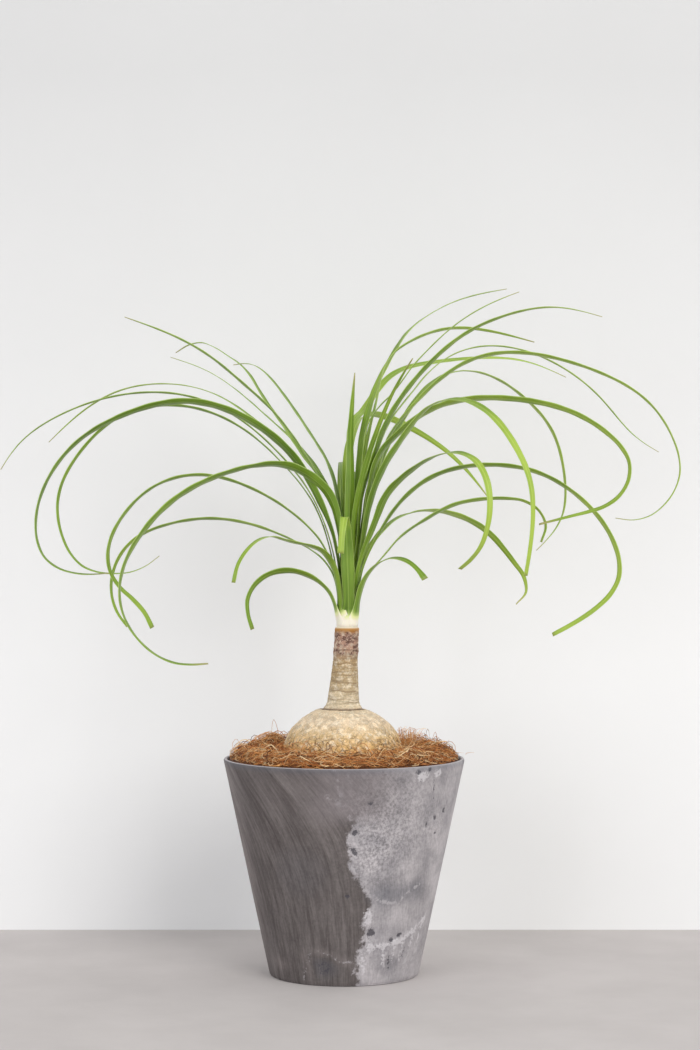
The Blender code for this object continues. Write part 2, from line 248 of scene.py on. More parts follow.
@dataclass(frozen=True)
class StoneComposite:
    """Planter finish: stone powder in resin, cast in a mould and rubbed, so matt, streaked and chalky.

    Reads the piece's own fields: the signed distance from the edge between its dark and its pale cast, the
    pits, the chalk flakes, the pale veins, the broad shade, which holds tone patches and a painted highlight
    down the left edge, and the swirl that the streaks follow.
    """

    dark: tuple[str, str] = ("#4d4645", "#716a69")
    pale: tuple[str, str] = ("#969296", "#aba6a9")
    middle: str = "#797274"
    chalk: str = "#cdc9cd"
    vein: str = "#b9b4b8"
    hollow: str = "#46434a"
    slate: str = "#5f626d"
    streak_mm: float = 2.7
    broad_streak_mm: float = 13.0
    fine_streak_mm: float = 1.0
    crumb_mm: float = 2.4
    mottle_mm: float = 22.0
    ragged_mm: float = 7.0
    dust_mm: float = 0.6
    ragged_reach: float = 5.0
    painted_rim_highlight: tuple[float, float] = (0.5 * MM, 0.1 * MM)
    rim_band: tuple[float, float] = (6 * MM, 1.5 * MM)
    roughness: float = 0.72

    def material(self, height: float) -> bpy.types.Material:
        """Make the material.

        Args:
            height: Height of the planter's rim in metres.

        Returns:
            The material.
        """
        made, node, link, shader = new_finish("stone_resin_composite")
        place = node("TexCoord", out="Object")
        read = {name: node("Attribute", attribute_name=name, out="Fac")
                for name in ("pale_side", "pit", "flake", "vein", "shade", "grain", "blend")}
        swirl = node("Attribute", attribute_name="swirl", out="Vector")
        grains = {name: node("TexNoise", {"Vector": place, "Scale": per_metre(size), "Detail": detail,
                                          "Roughness": rough})
                  for name, size, detail, rough in (("crumb", self.crumb_mm, 5.0, 0.7),
                                                    ("mottle", self.mottle_mm, 6.0, 0.6),
                                                    ("ragged", self.ragged_mm, 8.0, 0.7),
                                                    ("dust", self.dust_mm, 2.0, 0.5))}
        lines = {name: node("TexNoise", {"Vector": swirl, "Scale": per_metre(size), "Detail": detail,
                                         "Roughness": rough, "Distortion": bent})
                 for name, size, detail, rough, bent in (("streak", self.streak_mm, 5.0, 0.62, 0.4),
                                                         ("broad", self.broad_streak_mm, 4.0, 0.5, 0.8),
                                                         ("fine", self.fine_streak_mm, 3.0, 0.5, 0.0))}
        half = node("Math", {0: lines["streak"], 1: 0.5}, operation="MULTIPLY")
        streak = node("Math", {0: lines["broad"], 1: 0.5, 2: half}, operation="MULTIPLY_ADD")
        sway = node("MapRange", {"Value": grains["ragged"], "From Min": 0.3, "From Max": 0.7,
                                 "To Min": -self.ragged_reach, "To Max": self.ragged_reach})
        torn = node("Math", {0: read["pale_side"], 1: sway}, operation="ADD")
        side = node("MapRange", {"Value": torn, "From Min": -2.2, "From Max": 2.4},
                    interpolation_type="SMOOTHSTEP")
        lip = node("MapRange", {"Value": torn, "From Min": 3.4, "From Max": 0.2, "To Max": 0.3})
        dark = node("ValToRGB", {"Fac": streak}, ((0.38, self.dark[0]), (0.64, self.dark[1])))
        pale = node("ValToRGB", {"Fac": grains["mottle"]}, ((0.36, self.pale[0]), (0.62, self.pale[1])))
        base = node("Mix", {0: side, 6: dark, 7: pale}, data_type="RGBA", out=2)
        edge = node("Math", {0: lip, 1: side}, operation="MULTIPLY")
        base = node("Mix", {0: edge, 6: base, 7: self.vein}, data_type="RGBA", out=2)
        base = node("Mix", {0: read["blend"], 6: base, 7: self.middle}, data_type="RGBA", out=2)
        soft = node("MapRange", {"Value": grains["mottle"], "From Min": 0.35, "From Max": 0.65,
                                 "To Min": 0.93, "To Max": 1.09})
        thread = node("MapRange", {"Value": lines["fine"], "From Min": 0.3, "From Max": 0.7, "To Min": 0.87,
                                   "To Max": 1.12})
        tone = node("Math", {0: soft, 1: thread}, operation="MULTIPLY")
        # The shade field adds tone patches and, down the left edge, a painted highlight that lightens it as a
        # rim light would.
        tone = node("Math", {0: tone, 1: read["shade"]}, operation="ADD")
        speck = node("MapRange", {"Value": grains["crumb"], "From Min": 0.4, "From Max": 0.6, "To Min": -0.2,
                                  "To Max": 0.2})
        gritty = node("Math", {0: read["grain"], 1: 0.42}, operation="ADD")
        speck = node("Math", {0: speck, 1: gritty}, operation="MULTIPLY")
        tone = node("Math", {0: tone, 1: speck}, operation="ADD")
        grey = node("CombineColor", {"Red": tone, "Green": tone, "Blue": tone})
        base = node("Mix", {0: 1.0, 6: base, 7: grey}, data_type="RGBA", blend_type="MULTIPLY", out=2)
        cool = node("MapRange", {"Value": read["shade"], "From Min": -0.05, "From Max": -0.3, "To Max": 0.5})
        base = node("Mix", {0: cool, 6: base, 7: self.slate}, data_type="RGBA", out=2)
        for name, colour, low, high, tear, strength in (("vein", self.vein, 0.5, 1.0, 0.46, 0.6),
                                                        ("flake", self.chalk, 0.5, 0.9, 0.46, 0.8),
                                                        ("pit", self.hollow, 0.5, 0.72, 0.35, 0.9)):
            wobble = node("MapRange", {"Value": grains["crumb"], "From Min": 0.36, "From Max": 0.64,
                                       "To Min": -tear, "To Max": tear})
            rough = node("Math", {0: read[name], 1: wobble}, operation="ADD")
            mask = node("MapRange", {"Value": rough, "From Min": low, "From Max": high, "To Max": strength})
            base = node("Mix", {0: mask, 6: base, 7: colour}, data_type="RGBA", out=2)
        level = node("SeparateXYZ", {0: place}, out="Z")
        # A darker slate band under the rim, and a painted highlight: the top half-millimetre of the rim is
        # painted pale as if light caught its edge.
        for (low, high), colour, strength in ((self.rim_band, self.slate, 0.35),
                                              (self.painted_rim_highlight, self.vein, 1.0)):
            mask = node("MapRange", {"Value": level, "From Min": height - low, "From Max": height - high,
                                     "To Max": strength})
            base = node("Mix", {0: mask, 6: base, 7: colour}, data_type="RGBA", out=2)
        link(base, shader.inputs["Base Color"])
        shader.inputs["Roughness"].default_value = self.roughness
        shader.inputs["IOR"].default_value = 1.5
        mixed = node("Math", {0: streak, 1: grains["dust"], 2: 0.4}, operation="MULTIPLY_ADD")
        bump = node("Bump", {"Height": mixed, "Strength": 0.35, "Distance": 0.5 * MM})
        link(bump, shader.inputs["Normal"])
        return made


@dataclass(frozen=True)
class PeatSoil:
    """Potting soil finish: damp peat with bark crumbs, near black and dull."""

    colours: tuple[str, ...] = ("#1c120b", "#33221a", "#4b3425")
    crumb_mm: float = 3.0

    def material(self) -> bpy.types.Material:
        """Make the material, with crumbs in colour and relief."""
        made, node, link, shader = new_finish("damp_peat_soil")
        place = node("TexCoord", out="Object")
        crumbs = node("TexNoise", {"Vector": place, "Scale": per_metre(self.crumb_mm), "Detail": 8.0,
                                   "Roughness": 0.7})
        colour = node("ValToRGB", {"Fac": crumbs}, tuple(zip((0.35, 0.5, 0.68), self.colours)))
        link(colour, shader.inputs["Base Color"])
        shader.inputs["Roughness"].default_value = 0.95
        bump = node("Bump", {"Height": crumbs, "Strength": 0.8, "Distance": 1.5 * MM})
        link(bump, shader.inputs["Normal"])
        return made


class CoirUse(Enum):
    """Where coir shows: the matted bed, or the loose strands on it."""

    BED = "coir_fibre_bed"
    STRAND = "coir_fibre_strand"


@dataclass(frozen=True)
class Coir:
    """Coconut husk fibre: stiff brown strands with a dry, slightly glossy skin, from umber to straw."""

    strand: tuple[str, ...] = ("#643718", "#bb7137", "#e0a15e", "#f3d4a5")
    bed: tuple[str, ...] = ("#32190c", "#714019", "#ab6b2f")
    mat_mm: float = 2.2
    skin_mm: float = 4.0

    def material(self, use: CoirUse) -> bpy.types.Material:
        """Make the material.

        Args:
            use: The bed or the strands.

        Returns:
            The material.
        """
        made, node, link, shader = new_finish(use.value)
        place = node("TexCoord", out="Object")
        if use is CoirUse.BED:
            mat = node("TexNoise", {"Vector": place, "Scale": per_metre(self.mat_mm), "Detail": 6.0,
                                    "Roughness": 0.75, "Distortion": 1.5})
            colour = node("ValToRGB", {"Fac": mat}, tuple(zip((0.36, 0.52, 0.7), self.bed)))
            bump = node("Bump", {"Height": mat, "Strength": 1.0, "Distance": 1.5 * MM})
            link(bump, shader.inputs["Normal"])
        else:
            tint = node("Attribute", attribute_name="tint", out="Fac")
            skin = node("TexNoise", {"Vector": place, "Scale": per_metre(self.skin_mm)})
            drift = node("MapRange", {"Value": skin, "From Min": 0.3, "From Max": 0.7, "To Min": -0.12,
                                      "To Max": 0.12})
            mixed = node("Math", {0: tint, 1: drift}, operation="ADD")
            colour = node("ValToRGB", {"Fac": mixed}, tuple(zip((0.05, 0.4, 0.7, 0.97), self.strand)))
        link(colour, shader.inputs["Base Color"])
        shader.inputs["Roughness"].default_value = 0.6
        return made


@dataclass(frozen=True)
class CorkyBark:
    """Caudex and stem finish: dry corky bark, cracked into plates low down, smooth and mottled above.

    Reads the piece's own fields: how cracked it is, its seams, its leaf-scar rings and its ragged scars.
    """

    zones: tuple[tuple[float, str], ...] = ((176, "#dc9d50"), (189, "#e9b670"), (202, "#e2c292"),
                                            (213, "#e6ceb0"), (222, "#dcc5a6"), (228, "#d2c1a3"),
                                            (240, "#bda784"), (252, "#b69d76"), (262, "#b1956d"),
                                            (268, "#a3866d"), (276, "#b58f7c"), (285, "#a27c66"),
                                            (287.5, "#a06c2e"), (289.6, "#b98544"), (290.8, "#f0e8d2"),
                                            (300, "#f4eedc"), (309, "#b9cd7a"), (318, "#6f9a35"))
    mottle_mm: float = 4.2
    fleck_mm: float = 1.3
    plate_mm: float = 4.6
    chip_mm: float = 2.1
    band_mm: float = 1.7
    warp_mm: float = 6.0
    warp_reach_mm: float = 3.0
    stem_from: tuple[float, float] = (221, 224)
    live_below: tuple[float, float] = (289, 284)
    moss_below: tuple[float, float] = (222, 205)
    crack: str = "#4f3216"
    moss: str = "#a98f3c"
    cream: str = "#f6e9d2"
    scar: str = "#553529"
    blush: str = "#dab8a8"
    ring: str = "#7d6241"
    roughness: float = 0.78

    def material(self) -> bpy.types.Material:
        """Make the material, with its colour zones by height."""
        made, node, link, shader = new_finish("corky_caudex_bark")
        place = node("TexCoord", out="Object")
        read = {name: node("Attribute", attribute_name=name, out="Fac")
                for name in ("crack", "ring", "scar", "seam")}
        mottle = node("TexNoise", {"Vector": place, "Scale": per_metre(self.mottle_mm), "Detail": 7.0,
                                   "Roughness": 0.65})
        fleck = node("TexNoise", {"Vector": place, "Scale": per_metre(self.fleck_mm), "Detail": 4.0,
                                  "Roughness": 0.7})
        warp = node("TexNoise", {"Vector": place, "Scale": per_metre(self.warp_mm), "Detail": 3.0}, out=1)
        bent = node("VectorMath", {0: warp, 1: (self.warp_reach_mm * MM,) * 3, 2: place},
                    operation="MULTIPLY_ADD")
        lines = []
        for size, width in ((self.plate_mm, 0.13), (self.chip_mm, 0.11)):
            seam = node("TexVoronoi", {"Vector": bent, "Scale": per_metre(size)}, feature="DISTANCE_TO_EDGE")
            lines.append(node("MapRange", {"Value": seam, "From Min": width, "From Max": 0.01}))
        chips = node("MapRange", {"Value": fleck, "From Min": 0.44, "From Max": 0.56})
        chips = node("Math", {0: lines[1], 1: chips}, operation="MULTIPLY")
        crack = node("Math", {0: lines[0], 1: chips}, operation="MAXIMUM")
        crack = node("Math", {0: crack, 1: read["crack"]}, operation="MULTIPLY")
        tile = node("TexVoronoi", {"Vector": bent, "Scale": per_metre(self.plate_mm)}, out="Color")
        tile = node("SeparateColor", {0: tile})
        tile = node("MapRange", {"Value": tile, "To Min": 0.8, "To Max": 1.16})
        wide = node("Mapping", {"Vector": place, "Scale": (0.14, 0.14, 1.0)})
        bands = node("TexNoise", {"Vector": wide, "Scale": per_metre(self.band_mm), "Detail": 3.0,
                                  "Roughness": 0.6})
        bands = node("MapRange", {"Value": bands, "From Min": 0.36, "From Max": 0.62, "To Min": 0.78,
                                  "To Max": 1.12})
        level = node("SeparateXYZ", {0: place}, out="Z")
        on_stem, live, below = (node("MapRange", {"Value": level, "From Min": start * MM,
                                                  "From Max": end * MM}) for start,
                                end in (self.stem_from, self.live_below, self.moss_below))
        plated = node("Mix", {0: on_stem, 2: tile, 3: bands})
        low, high = self.zones[0][0] * MM, self.zones[-1][0] * MM
        share = node("MapRange", {"Value": level, "From Min": low, "From Max": high})
        stops = tuple(((z * MM - low) / (high - low), colour) for z, colour in self.zones)
        base = node("ValToRGB", {"Fac": share}, stops)
        pale = node("MapRange", {"Value": mottle, "From Min": 0.48, "From Max": 0.64, "To Max": 0.65})
        pale = node("Math", {0: pale, 1: live}, operation="MULTIPLY")
        base = node("Mix", {0: pale, 6: base, 7: self.cream}, data_type="RGBA", out=2)
        green = node("MapRange", {"Value": mottle, "From Min": 0.46, "From Max": 0.3, "To Max": 0.38})
        green = node("Math", {0: green, 1: below}, operation="MULTIPLY")
        base = node("Mix", {0: green, 6: base, 7: self.moss}, data_type="RGBA", out=2)
        shade = node("MapRange", {"Value": fleck, "From Min": 0.3, "From Max": 0.66, "To Min": 0.68,
                                  "To Max": 1.18})
        shade = node("Math", {0: shade, 1: plated}, operation="MULTIPLY")
        grey = node("CombineColor", {"Red": shade, "Green": shade, "Blue": shade})
        fade = node("MapRange", {"Value": live, "To Min": 0.1})
        base = node("Mix", {0: fade, 6: base, 7: grey}, data_type="RGBA", blend_type="MULTIPLY", out=2)
        base = node("Mix", {0: read["ring"], 6: base, 7: self.ring}, data_type="RGBA", out=2)
        blush = node("MapRange", {"Value": fleck, "From Min": 0.5, "From Max": 0.62, "To Max": 0.8})
        ragged = node("Mix", {0: blush, 6: self.scar, 7: self.blush}, data_type="RGBA", out=2)
        base = node("Mix", {0: read["scar"], 6: base, 7: ragged}, data_type="RGBA", out=2)
        for dark in (crack, read["seam"]):
            base = node("Mix", {0: dark, 6: base, 7: self.crack}, data_type="RGBA", out=2)
        link(base, shader.inputs["Base Color"])
        shader.inputs["Roughness"].default_value = self.roughness
        relief = node("Math", {0: crack, 1: -1.2, 2: fleck}, operation="MULTIPLY_ADD")
        bump = node("Bump", {"Height": relief, "Strength": 0.6, "Distance": 0.6 * MM})
        link(bump, shader.inputs["Normal"])
        return made


class BladeFace(Enum):
    """The two faces of a leaf blade."""

    UPPER = "leaf_blade_upper"
    UNDER = "leaf_blade_underside"


@dataclass(frozen=True)
class LeafSkin:
    """Leaf finish: a tough waxy skin over parallel veins, so a broad soft gloss; the underside is paler."""

    upper: tuple[str, ...] = ("#446317", "#77972b", "#a9c14d")
    under: tuple[str, ...] = ("#829b43", "#a1b955", "#c0d677")
    sheath: tuple[str, ...] = ("#f4eedb", "#e3e8a6", "#9cc048")
    margin: str = "#bdd47a"
    dry: str = "#b3a274"
    vein_share: float = 0.045
    cloud_mm: float = 40.0
    roughness: float = 0.38

    def material(self, face: BladeFace) -> bpy.types.Material:
        """Make the material.

        Args:
            face: The upper face or the underside.

        Returns:
            The material.
        """
        made, node, link, shader = new_finish(face.value)
        place = node("TexCoord", out="Object")
        around = node("TexCoord", out="UV")
        read = {name: node("Attribute", attribute_name=name, out="Fac")
                for name in ("tone", "bleach", "dry")}
        across = node("SeparateXYZ", {0: around}, out="X")
        stretch = node("Mapping", {"Vector": around, "Scale": (1.0 / self.vein_share, 2.0, 1.0)})
        veins = node("TexNoise", {"Vector": stretch, "Scale": 1.0, "Detail": 3.0})
        drift = node("TexNoise", {"Vector": place, "Scale": per_metre(self.cloud_mm), "Detail": 3.0})
        moved = node("MapRange", {"Value": drift, "From Min": 0.3, "From Max": 0.7, "To Min": -0.16,
                                  "To Max": 0.16})
        tone = node("Math", {0: read["tone"], 1: moved}, operation="ADD")
        combed = node("MapRange", {"Value": veins, "From Min": 0.3, "From Max": 0.7, "To Min": -0.26,
                                   "To Max": 0.26})
        tone = node("Math", {0: tone, 1: combed}, operation="ADD")
        skin = self.upper if face is BladeFace.UPPER else self.under
        base = node("ValToRGB", {"Fac": tone}, tuple(zip((0.0, 0.5, 1.0), skin)))
        centred = node("Math", {0: across, 1: -0.5}, operation="ADD")
        out = node("Math", {0: centred}, operation="ABSOLUTE")
        margin = node("MapRange", {"Value": out, "From Min": 0.42, "From Max": 0.5, "To Max": 0.65})
        base = node("Mix", {0: margin, 6: base, 7: self.margin}, data_type="RGBA", out=2)
        midrib = node("MapRange", {"Value": out, "From Min": 0.06, "From Max": 0.0, "To Max": 0.3})
        base = node("Mix", {0: midrib, 6: base, 7: self.margin}, data_type="RGBA", out=2)
        pale = node("ValToRGB", {"Fac": read["bleach"]}, tuple(zip((0.0, 0.5, 0.8), reversed(self.sheath))))
        bleached = node("MapRange", {"Value": read["bleach"], "From Max": 0.45})
        base = node("Mix", {0: bleached, 6: base, 7: pale}, data_type="RGBA", out=2)
        base = node("Mix", {0: read["dry"], 6: base, 7: self.dry}, data_type="RGBA", out=2)
        link(base, shader.inputs["Base Color"])
        shader.inputs["Roughness"].default_value = self.roughness if face is BladeFace.UPPER else 0.5
        shader.inputs["IOR"].default_value = 1.45
        shader.inputs["Subsurface Weight"].default_value = 0.12
        shader.inputs["Subsurface Radius"].default_value = (0.6, 1.0, 0.2)
        shader.inputs["Subsurface Scale"].default_value = 1.0 * MM
        bump = node("Bump", {"Height": veins, "Strength": 0.25, "Distance": 0.2 * MM})
        link(bump, shader.inputs["Normal"])
        return made


@dataclass(frozen=True)
class StudioPaint:
    """Matt studio surface: a cast floor or a painted wall, plain but for a faint unevenness and a painted
    shade that can darken it upwards.
    """

    name: str
    colours: tuple[str, str]
    patch_mm: float
    one_sided: bool = False
    painted_shade_factor: float = 1.0
    painted_shade_from: float = 0.25
    painted_shade_to: float = 0.8

    def material(self) -> bpy.types.Material:
        """Make the material; a one-sided surface shows nothing from behind."""
        made, node, link, shader = new_finish(self.name)
        place = node("TexCoord", out="Object")
        patches = node("TexNoise", {"Vector": place, "Scale": per_metre(self.patch_mm), "Detail": 8.0,
                                    "Roughness": 0.6})
        colour = node("ValToRGB", {"Fac": patches}, tuple(zip((0.35, 0.65), self.colours)))
        # Painted shade: the colour darkens upwards between two heights, standing in for the light falling off
        # towards the top.
        level = node("SeparateXYZ", {0: place}, out="Z")
        grey = node("MapRange", {"Value": level, "From Min": self.painted_shade_from, "From Max": self.painted_shade_to,
                                 "To Min": 1.0, "To Max": self.painted_shade_factor})
        grey = node("CombineColor", {"Red": grey, "Green": grey, "Blue": grey})
        colour = node("Mix", {0: 1.0, 6: colour, 7: grey}, data_type="RGBA", blend_type="MULTIPLY", out=2)
        link(colour, shader.inputs["Base Color"])
        shader.inputs["Roughness"].default_value = 0.85
        if self.one_sided:
            back = node("NewGeometry", out="Backfacing")
            clear = node("BsdfTransparent")
            mixed = node("MixShader", {0: back, 1: shader.outputs[0], 2: clear})
            link(mixed, made.node_tree.nodes["Material Output"].inputs["Surface"])
        return made


# ---------------------------------------------------------------- planter


class Mark(Enum):
    """What a mark on the planter's skin is."""

    PIT = "pit"
    FLAKE = "flake"
    SHADE = "shade"
    GRAIN = "grain"


@dataclass(frozen=True)
class Spot:
    """One soft-edged mark on the planter, at an angle from the front towards the right and a height in mm."""

    angle: float
    height: float
    width: float
    rise: float
    strength: float = 1.0
    tilt: float = 0.0


@dataclass
class Planter:
    """The tapered tub, cast in stone composite, with its rim, wall, inner face and floor."""

    node: str = "pot"
    slot: str = "stone_composite"
    sides: int = 44
    fineness: int = 3
    wall: float = 3.6 * MM
    floor: float = 5 * MM
    foot_radius: float = 63 * MM
    foot_round: float = 3 * MM
    rim_round: float = 1.3 * MM
    wall_rows: int = 22
    inner_levels: tuple = (170 * MM, 120 * MM, 60 * MM)
    middle_radius: float = 82.0
    swirl_turn: float = -10.0
    swirl_squash: float = 0.12
    swirl_radius: float = 0.085
    vein_width: float = 1.9
    lump_mm: float = 6.0
    grit_mm: float = 2.0
    plain_edge: float = 2.0
    blend_reach: float = 30.0
    pit_depth: float = 0.7
    flake_rise: float = 0.35
    vein_rise: float = 0.25
    pale_rise: float = 0.22
    lump_rise: float = 0.05
    grit_rise: float = 0.22
    # (angle, height in mm) down the torn edge where the dark cast meets the pale one
    front_edge: tuple = ((9, 182), (8, 165), (6, 152), (6, 138), (3, 130), (2, 113), (3, 100), (7, 90),
                         (13, 81), (17, 70), (13, 58), (12, 50), (13, 40), (11, 30), (9, 18), (11, 0))
    back_edge: tuple = ((205, 182), (198, 150), (207, 122), (196, 95), (203, 70), (192, 45), (199, 20),
                        (195, 0))
    # each pale vein as (angle, height in mm) along it
    veins: tuple = (((4, 100), (8, 90), (13, 79), (18, 75), (26, 70), (35, 69), (40, 76), (50, 82)),
                    ((19, 34), (26, 33), (32, 35), (38, 36), (45, 42), (55, 46), (67, 53)),
                    ((14, 48), (11, 35), (9, 23), (6, 10)), ((32, 33), (30, 25), (29, 14)),
                    ((40, 37), (36, 27), (33, 18)), ((53, 44), (50, 28), (49, 14)),
                    ((65, 50), (64, 33), (57, 17)), ((45, 41), (44, 30), (43, 20)),
                    ((21, 38), (17, 24), (12, 9)), ((5, 21), (-2, 20), (-8, 26), (-17, 29), (-24, 27),
                                                    (-28, 17), (-31, 6)),
                    ((120, 60), (133, 72), (148, 70), (163, 84), (180, 88)),
                    ((150, 28), (168, 36), (186, 30)), ((-120, 130), (-112, 118), (-116, 100)),
                    ((-150, 30), (-138, 22), (-126, 27), (-117, 12)))
    # each mark as Spot's own fields in order
    spots: dict = field(default_factory=lambda: {
        Mark.PIT: (
            (5.8, 129, 3.4, 2.4), (5.2, 114, 2.2, 4.4, 1.0, 35), (2.0, 76, 1.8, 2.4), (17.6, 45, 3.6, 4.2),
            (62, 142, 3.0, 2.2, 1.0, -40), (54, 137, 2.6, 2.0, 1.0, -40), (48, 132, 1.6, 2.8),
            (57, 124, 1.5, 1.3), (37, 177, 2.8, 2.2), (44, 178, 2.0, 2.2), (39, 41, 2.6, 2.0, 1.0, 30),
            (33, 38, 2.0, 2.4, 1.0, -30), (13, 153, 2.2, 1.8), (49, 162, 0.9, 11, 0.9, 12),
            (-14, 15, 8, 9, 0.62), (33, 18, 2.4, 7, 0.62), (45, 26, 1.8, 7, 0.6), (112, 93, 3, 2.4),
            (158, 58, 3.2, 2.4), (200, 132, 3, 2.2), (196, 70, 2.4, 4), (-138, 142, 2.4, 2.4),
            (-92, 30, 2.4, 3), (135, 150, 1.8, 2.6)),
        Mark.FLAKE: (
            (15.2, 57, 4.0, 7.0), (40, 173, 6.5, 4.0), (50, 175, 5, 3.6), (17, 33, 3.4, 5, 0.8),
            (25, 33, 7, 2.8, 1.0), (38, 36, 7, 2.8, 1.05, 8), (50, 42, 7, 2.8, 1.0, 25),
            (62, 50, 6, 3.2, 1.0, 38), (28, 23, 1.8, 9, 0.75), (36, 26, 1.7, 8, 0.75),
            (43, 28, 1.6, 9, 0.7, -6), (52, 34, 1.8, 10, 0.7, -10), (60, 38, 1.6, 9, 0.7, -12),
            (13, 20, 2.6, 10, 0.75, 6), (110, 100, 6, 4, 0.8), (160, 50, 7, 5, 0.8),
            (-140, 150, 6, 4, 0.75), (205, 120, 4, 7, 0.9), (-95, 40, 5, 4, 0.65)),
        Mark.SHADE: (
            (-50, 15, 9, 5, 0.34), (-27, 17, 3.2, 10, 0.42, 14), (-14, 28, 10, 3.0, 0.42, -8),
            (1, 21, 8, 3.4, 0.36, -22), (30, 77, 22, 9, -0.2), (52, 76, 13, 14, -0.14),
            (22, 62, 9, 16, -0.1), (28, 52, 14, 16, 0.06), (75, 110, 26, 60, 0.12),
            # (-80, 110) is a painted highlight: it lightens the left edge where a rim light would catch it.
            (-80, 110, 20, 80, 0.62), (-25, 95, 30, 26, -0.1), (-14, 16, 13, 10, -0.16),
            (34, 17, 12, 9, -0.2), (-25, 160, 56, 24, 0.13), (150, 100, 30, 26, -0.12),
            (-4, 150, 15, 26, 0.12), (28, 172, 10, 5, -0.1), (34, 30, 16, 16, 0.12), (-58, 14, 10, 8, 0.2)),
        Mark.GRAIN: (
            (24, 134, 26, 34), (14, 108, 14, 16, 0.8), (150, 120, 40, 40), (55, 130, 16, 16, 0.4))})

    def tub(self) -> bpy.types.Object:
        """Extrude a circle ring by ring up the outside, over the rim and down the inside.

        Returns:
            The closed tub, subdivided fine enough for its relief.
        """
        low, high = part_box(self.node)
        self.top_radius = (high.x - low.x) / 2
        self.height = high.z
        deselect_all()
        start = self.foot_radius - self.foot_round
        bpy.ops.mesh.primitive_circle_add(vertices=self.sides, radius=start, fill_type="NGON")
        obj = bpy.context.object
        obj.name = "planter_tub"
        rise = (self.height - self.rim_round - self.foot_round) / self.wall_rows
        profile = [(start + 2 * MM, 0.4 * MM), (self.foot_radius, self.foot_round)]
        for row in range(1, self.wall_rows + 1):
            level = self.foot_round + row * rise
            profile.append((self.outer_radius(level), level))
        inner = self.top_radius - self.wall
        top = self.height
        profile += [(self.top_radius - 0.5 * MM, top - 0.3 * MM), (self.top_radius - 1.2 * MM, top),
                    (inner + 1.2 * MM, top), (inner, top - 1 * MM)]
        profile += [(self.outer_radius(level) - self.wall, level) for level in self.inner_levels]
        profile.append((self.outer_radius(self.floor) - self.wall, self.floor))
        bpy.ops.object.mode_set(mode="EDIT")
        bpy.ops.mesh.select_all(action="SELECT")
        radius, level = start, 0.0
        for next_radius, next_level in profile:
            bpy.ops.mesh.extrude_region_move(TRANSFORM_OT_translate={"value": (0, 0, next_level - level)})
            share = next_radius / radius
            bpy.ops.transform.resize(value=(share, share, 1), center_override=(0, 0, next_level))
            radius, level = next_radius, next_level
        bpy.ops.mesh.select_all(action="SELECT")
        bpy.ops.mesh.normals_make_consistent(inside=False)
        bpy.ops.object.mode_set(mode="OBJECT")
        apply_modifier(obj, "SUBSURF", subdivision_type="SIMPLE", levels=self.fineness,
                       render_levels=self.fineness)
        return obj

    def outer_radius(self, level: float) -> float:
        """Radius of the outer face at this height."""
        share = (level - self.foot_round) / (self.height - self.rim_round - self.foot_round)
        return self.foot_radius + (self.top_radius - self.foot_radius) * share

    def edge_distance(self, angle: np.ndarray, level: np.ndarray) -> np.ndarray:
        """Signed distance in mm from the torn edges, positive inside the pale cast."""
        front = np.interp(-level, [-h for _, h in self.front_edge], [a for a, _ in self.front_edge])
        back = np.interp(-level, [-h for _, h in self.back_edge], [a for a, _ in self.back_edge])
        turned = np.where(angle < -90, angle + 360, angle)
        return np.minimum(turned - front, back - turned) * math.radians(1) * self.middle_radius

    def dress(self, obj: bpy.types.Object) -> None:
        """Give the tub its round shape, relief and fields.

        Args:
            obj: The subdivided tub.
        """
        points = points_of(obj.data)
        radius = np.hypot(points[:, 0], points[:, 1])
        angle = np.arctan2(points[:, 0], -points[:, 1])
        level = points[:, 2] / MM
        corner = 2 * math.pi / self.sides
        from_flat = np.mod(angle, corner) - corner / 2
        radius = radius * np.cos(from_flat) / math.cos(corner / 2)
        degrees = np.degrees(angle)
        skin = radius > np.interp(points[:, 2], (0, self.height),
                                  (self.foot_radius - 2 * MM, self.top_radius - 1 * MM))
        pale = self.edge_distance(degrees, level)
        fields = {mark: np.zeros(len(points)) for mark in Mark}
        for mark, spot in ((mark, Spot(*row)) for mark, rows in self.spots.items() for row in rows):
            away = (degrees - spot.angle + 180) % 360 - 180
            across = away * math.radians(1) * self.outer_radius(spot.height * MM) / MM
            up = level - spot.height
            turn = math.radians(spot.tilt)
            x = (across * math.cos(turn) + up * math.sin(turn)) / spot.width
            z = (up * math.cos(turn) - across * math.sin(turn)) / spot.rise
            fields[mark] += spot.strength * np.exp(-0.7 * (x * x + z * z) ** 1.3)
        veins = np.full(len(points), 99.0)
        for way in self.veins:
            for (a0, h0), (a1, h1) in zip(way, way[1:]):
                stretch = math.radians(1) * self.outer_radius((h0 + h1) / 2 * MM) / MM
                start = np.array((0.0, h0))
                along = np.array(((a1 - a0) * stretch, h1 - h0))
                offset = np.column_stack((((degrees - a0 + 180) % 360 - 180) * stretch, level)) - start
                part = np.clip(offset @ along / (along @ along), 0, 1)
                veins = np.minimum(veins, np.linalg.norm(offset - part[:, None] * along, axis=1))
        lumps = cloud(points, self.lump_mm, 4)
        patchy = (0.8 + 1.0 * lumps) * (0.62 + 0.38 * ramp(pale, -6, 2))
        vein_field = np.exp(-(veins / self.vein_width) ** 2) * patchy
        grit = cloud(points, self.grit_mm, 2, seed=5.0)
        pale_step = ramp(pale + 5 * lumps, -1.5, 1.5)
        relief = (-self.pit_depth * np.clip(fields[Mark.PIT], 0, 1)
                  + self.flake_rise * np.clip(fields[Mark.FLAKE], 0, 1) * (1 + grit)
                  + self.vein_rise * vein_field + self.pale_rise * pale_step + self.lump_rise * lumps
                  + self.grit_rise * grit * fields[Mark.GRAIN] * pale_step)
        wall = skin & (level > self.plain_edge) & (level < self.height / MM - self.plain_edge)
        radius = radius + np.where(wall, relief, 0.0) * MM
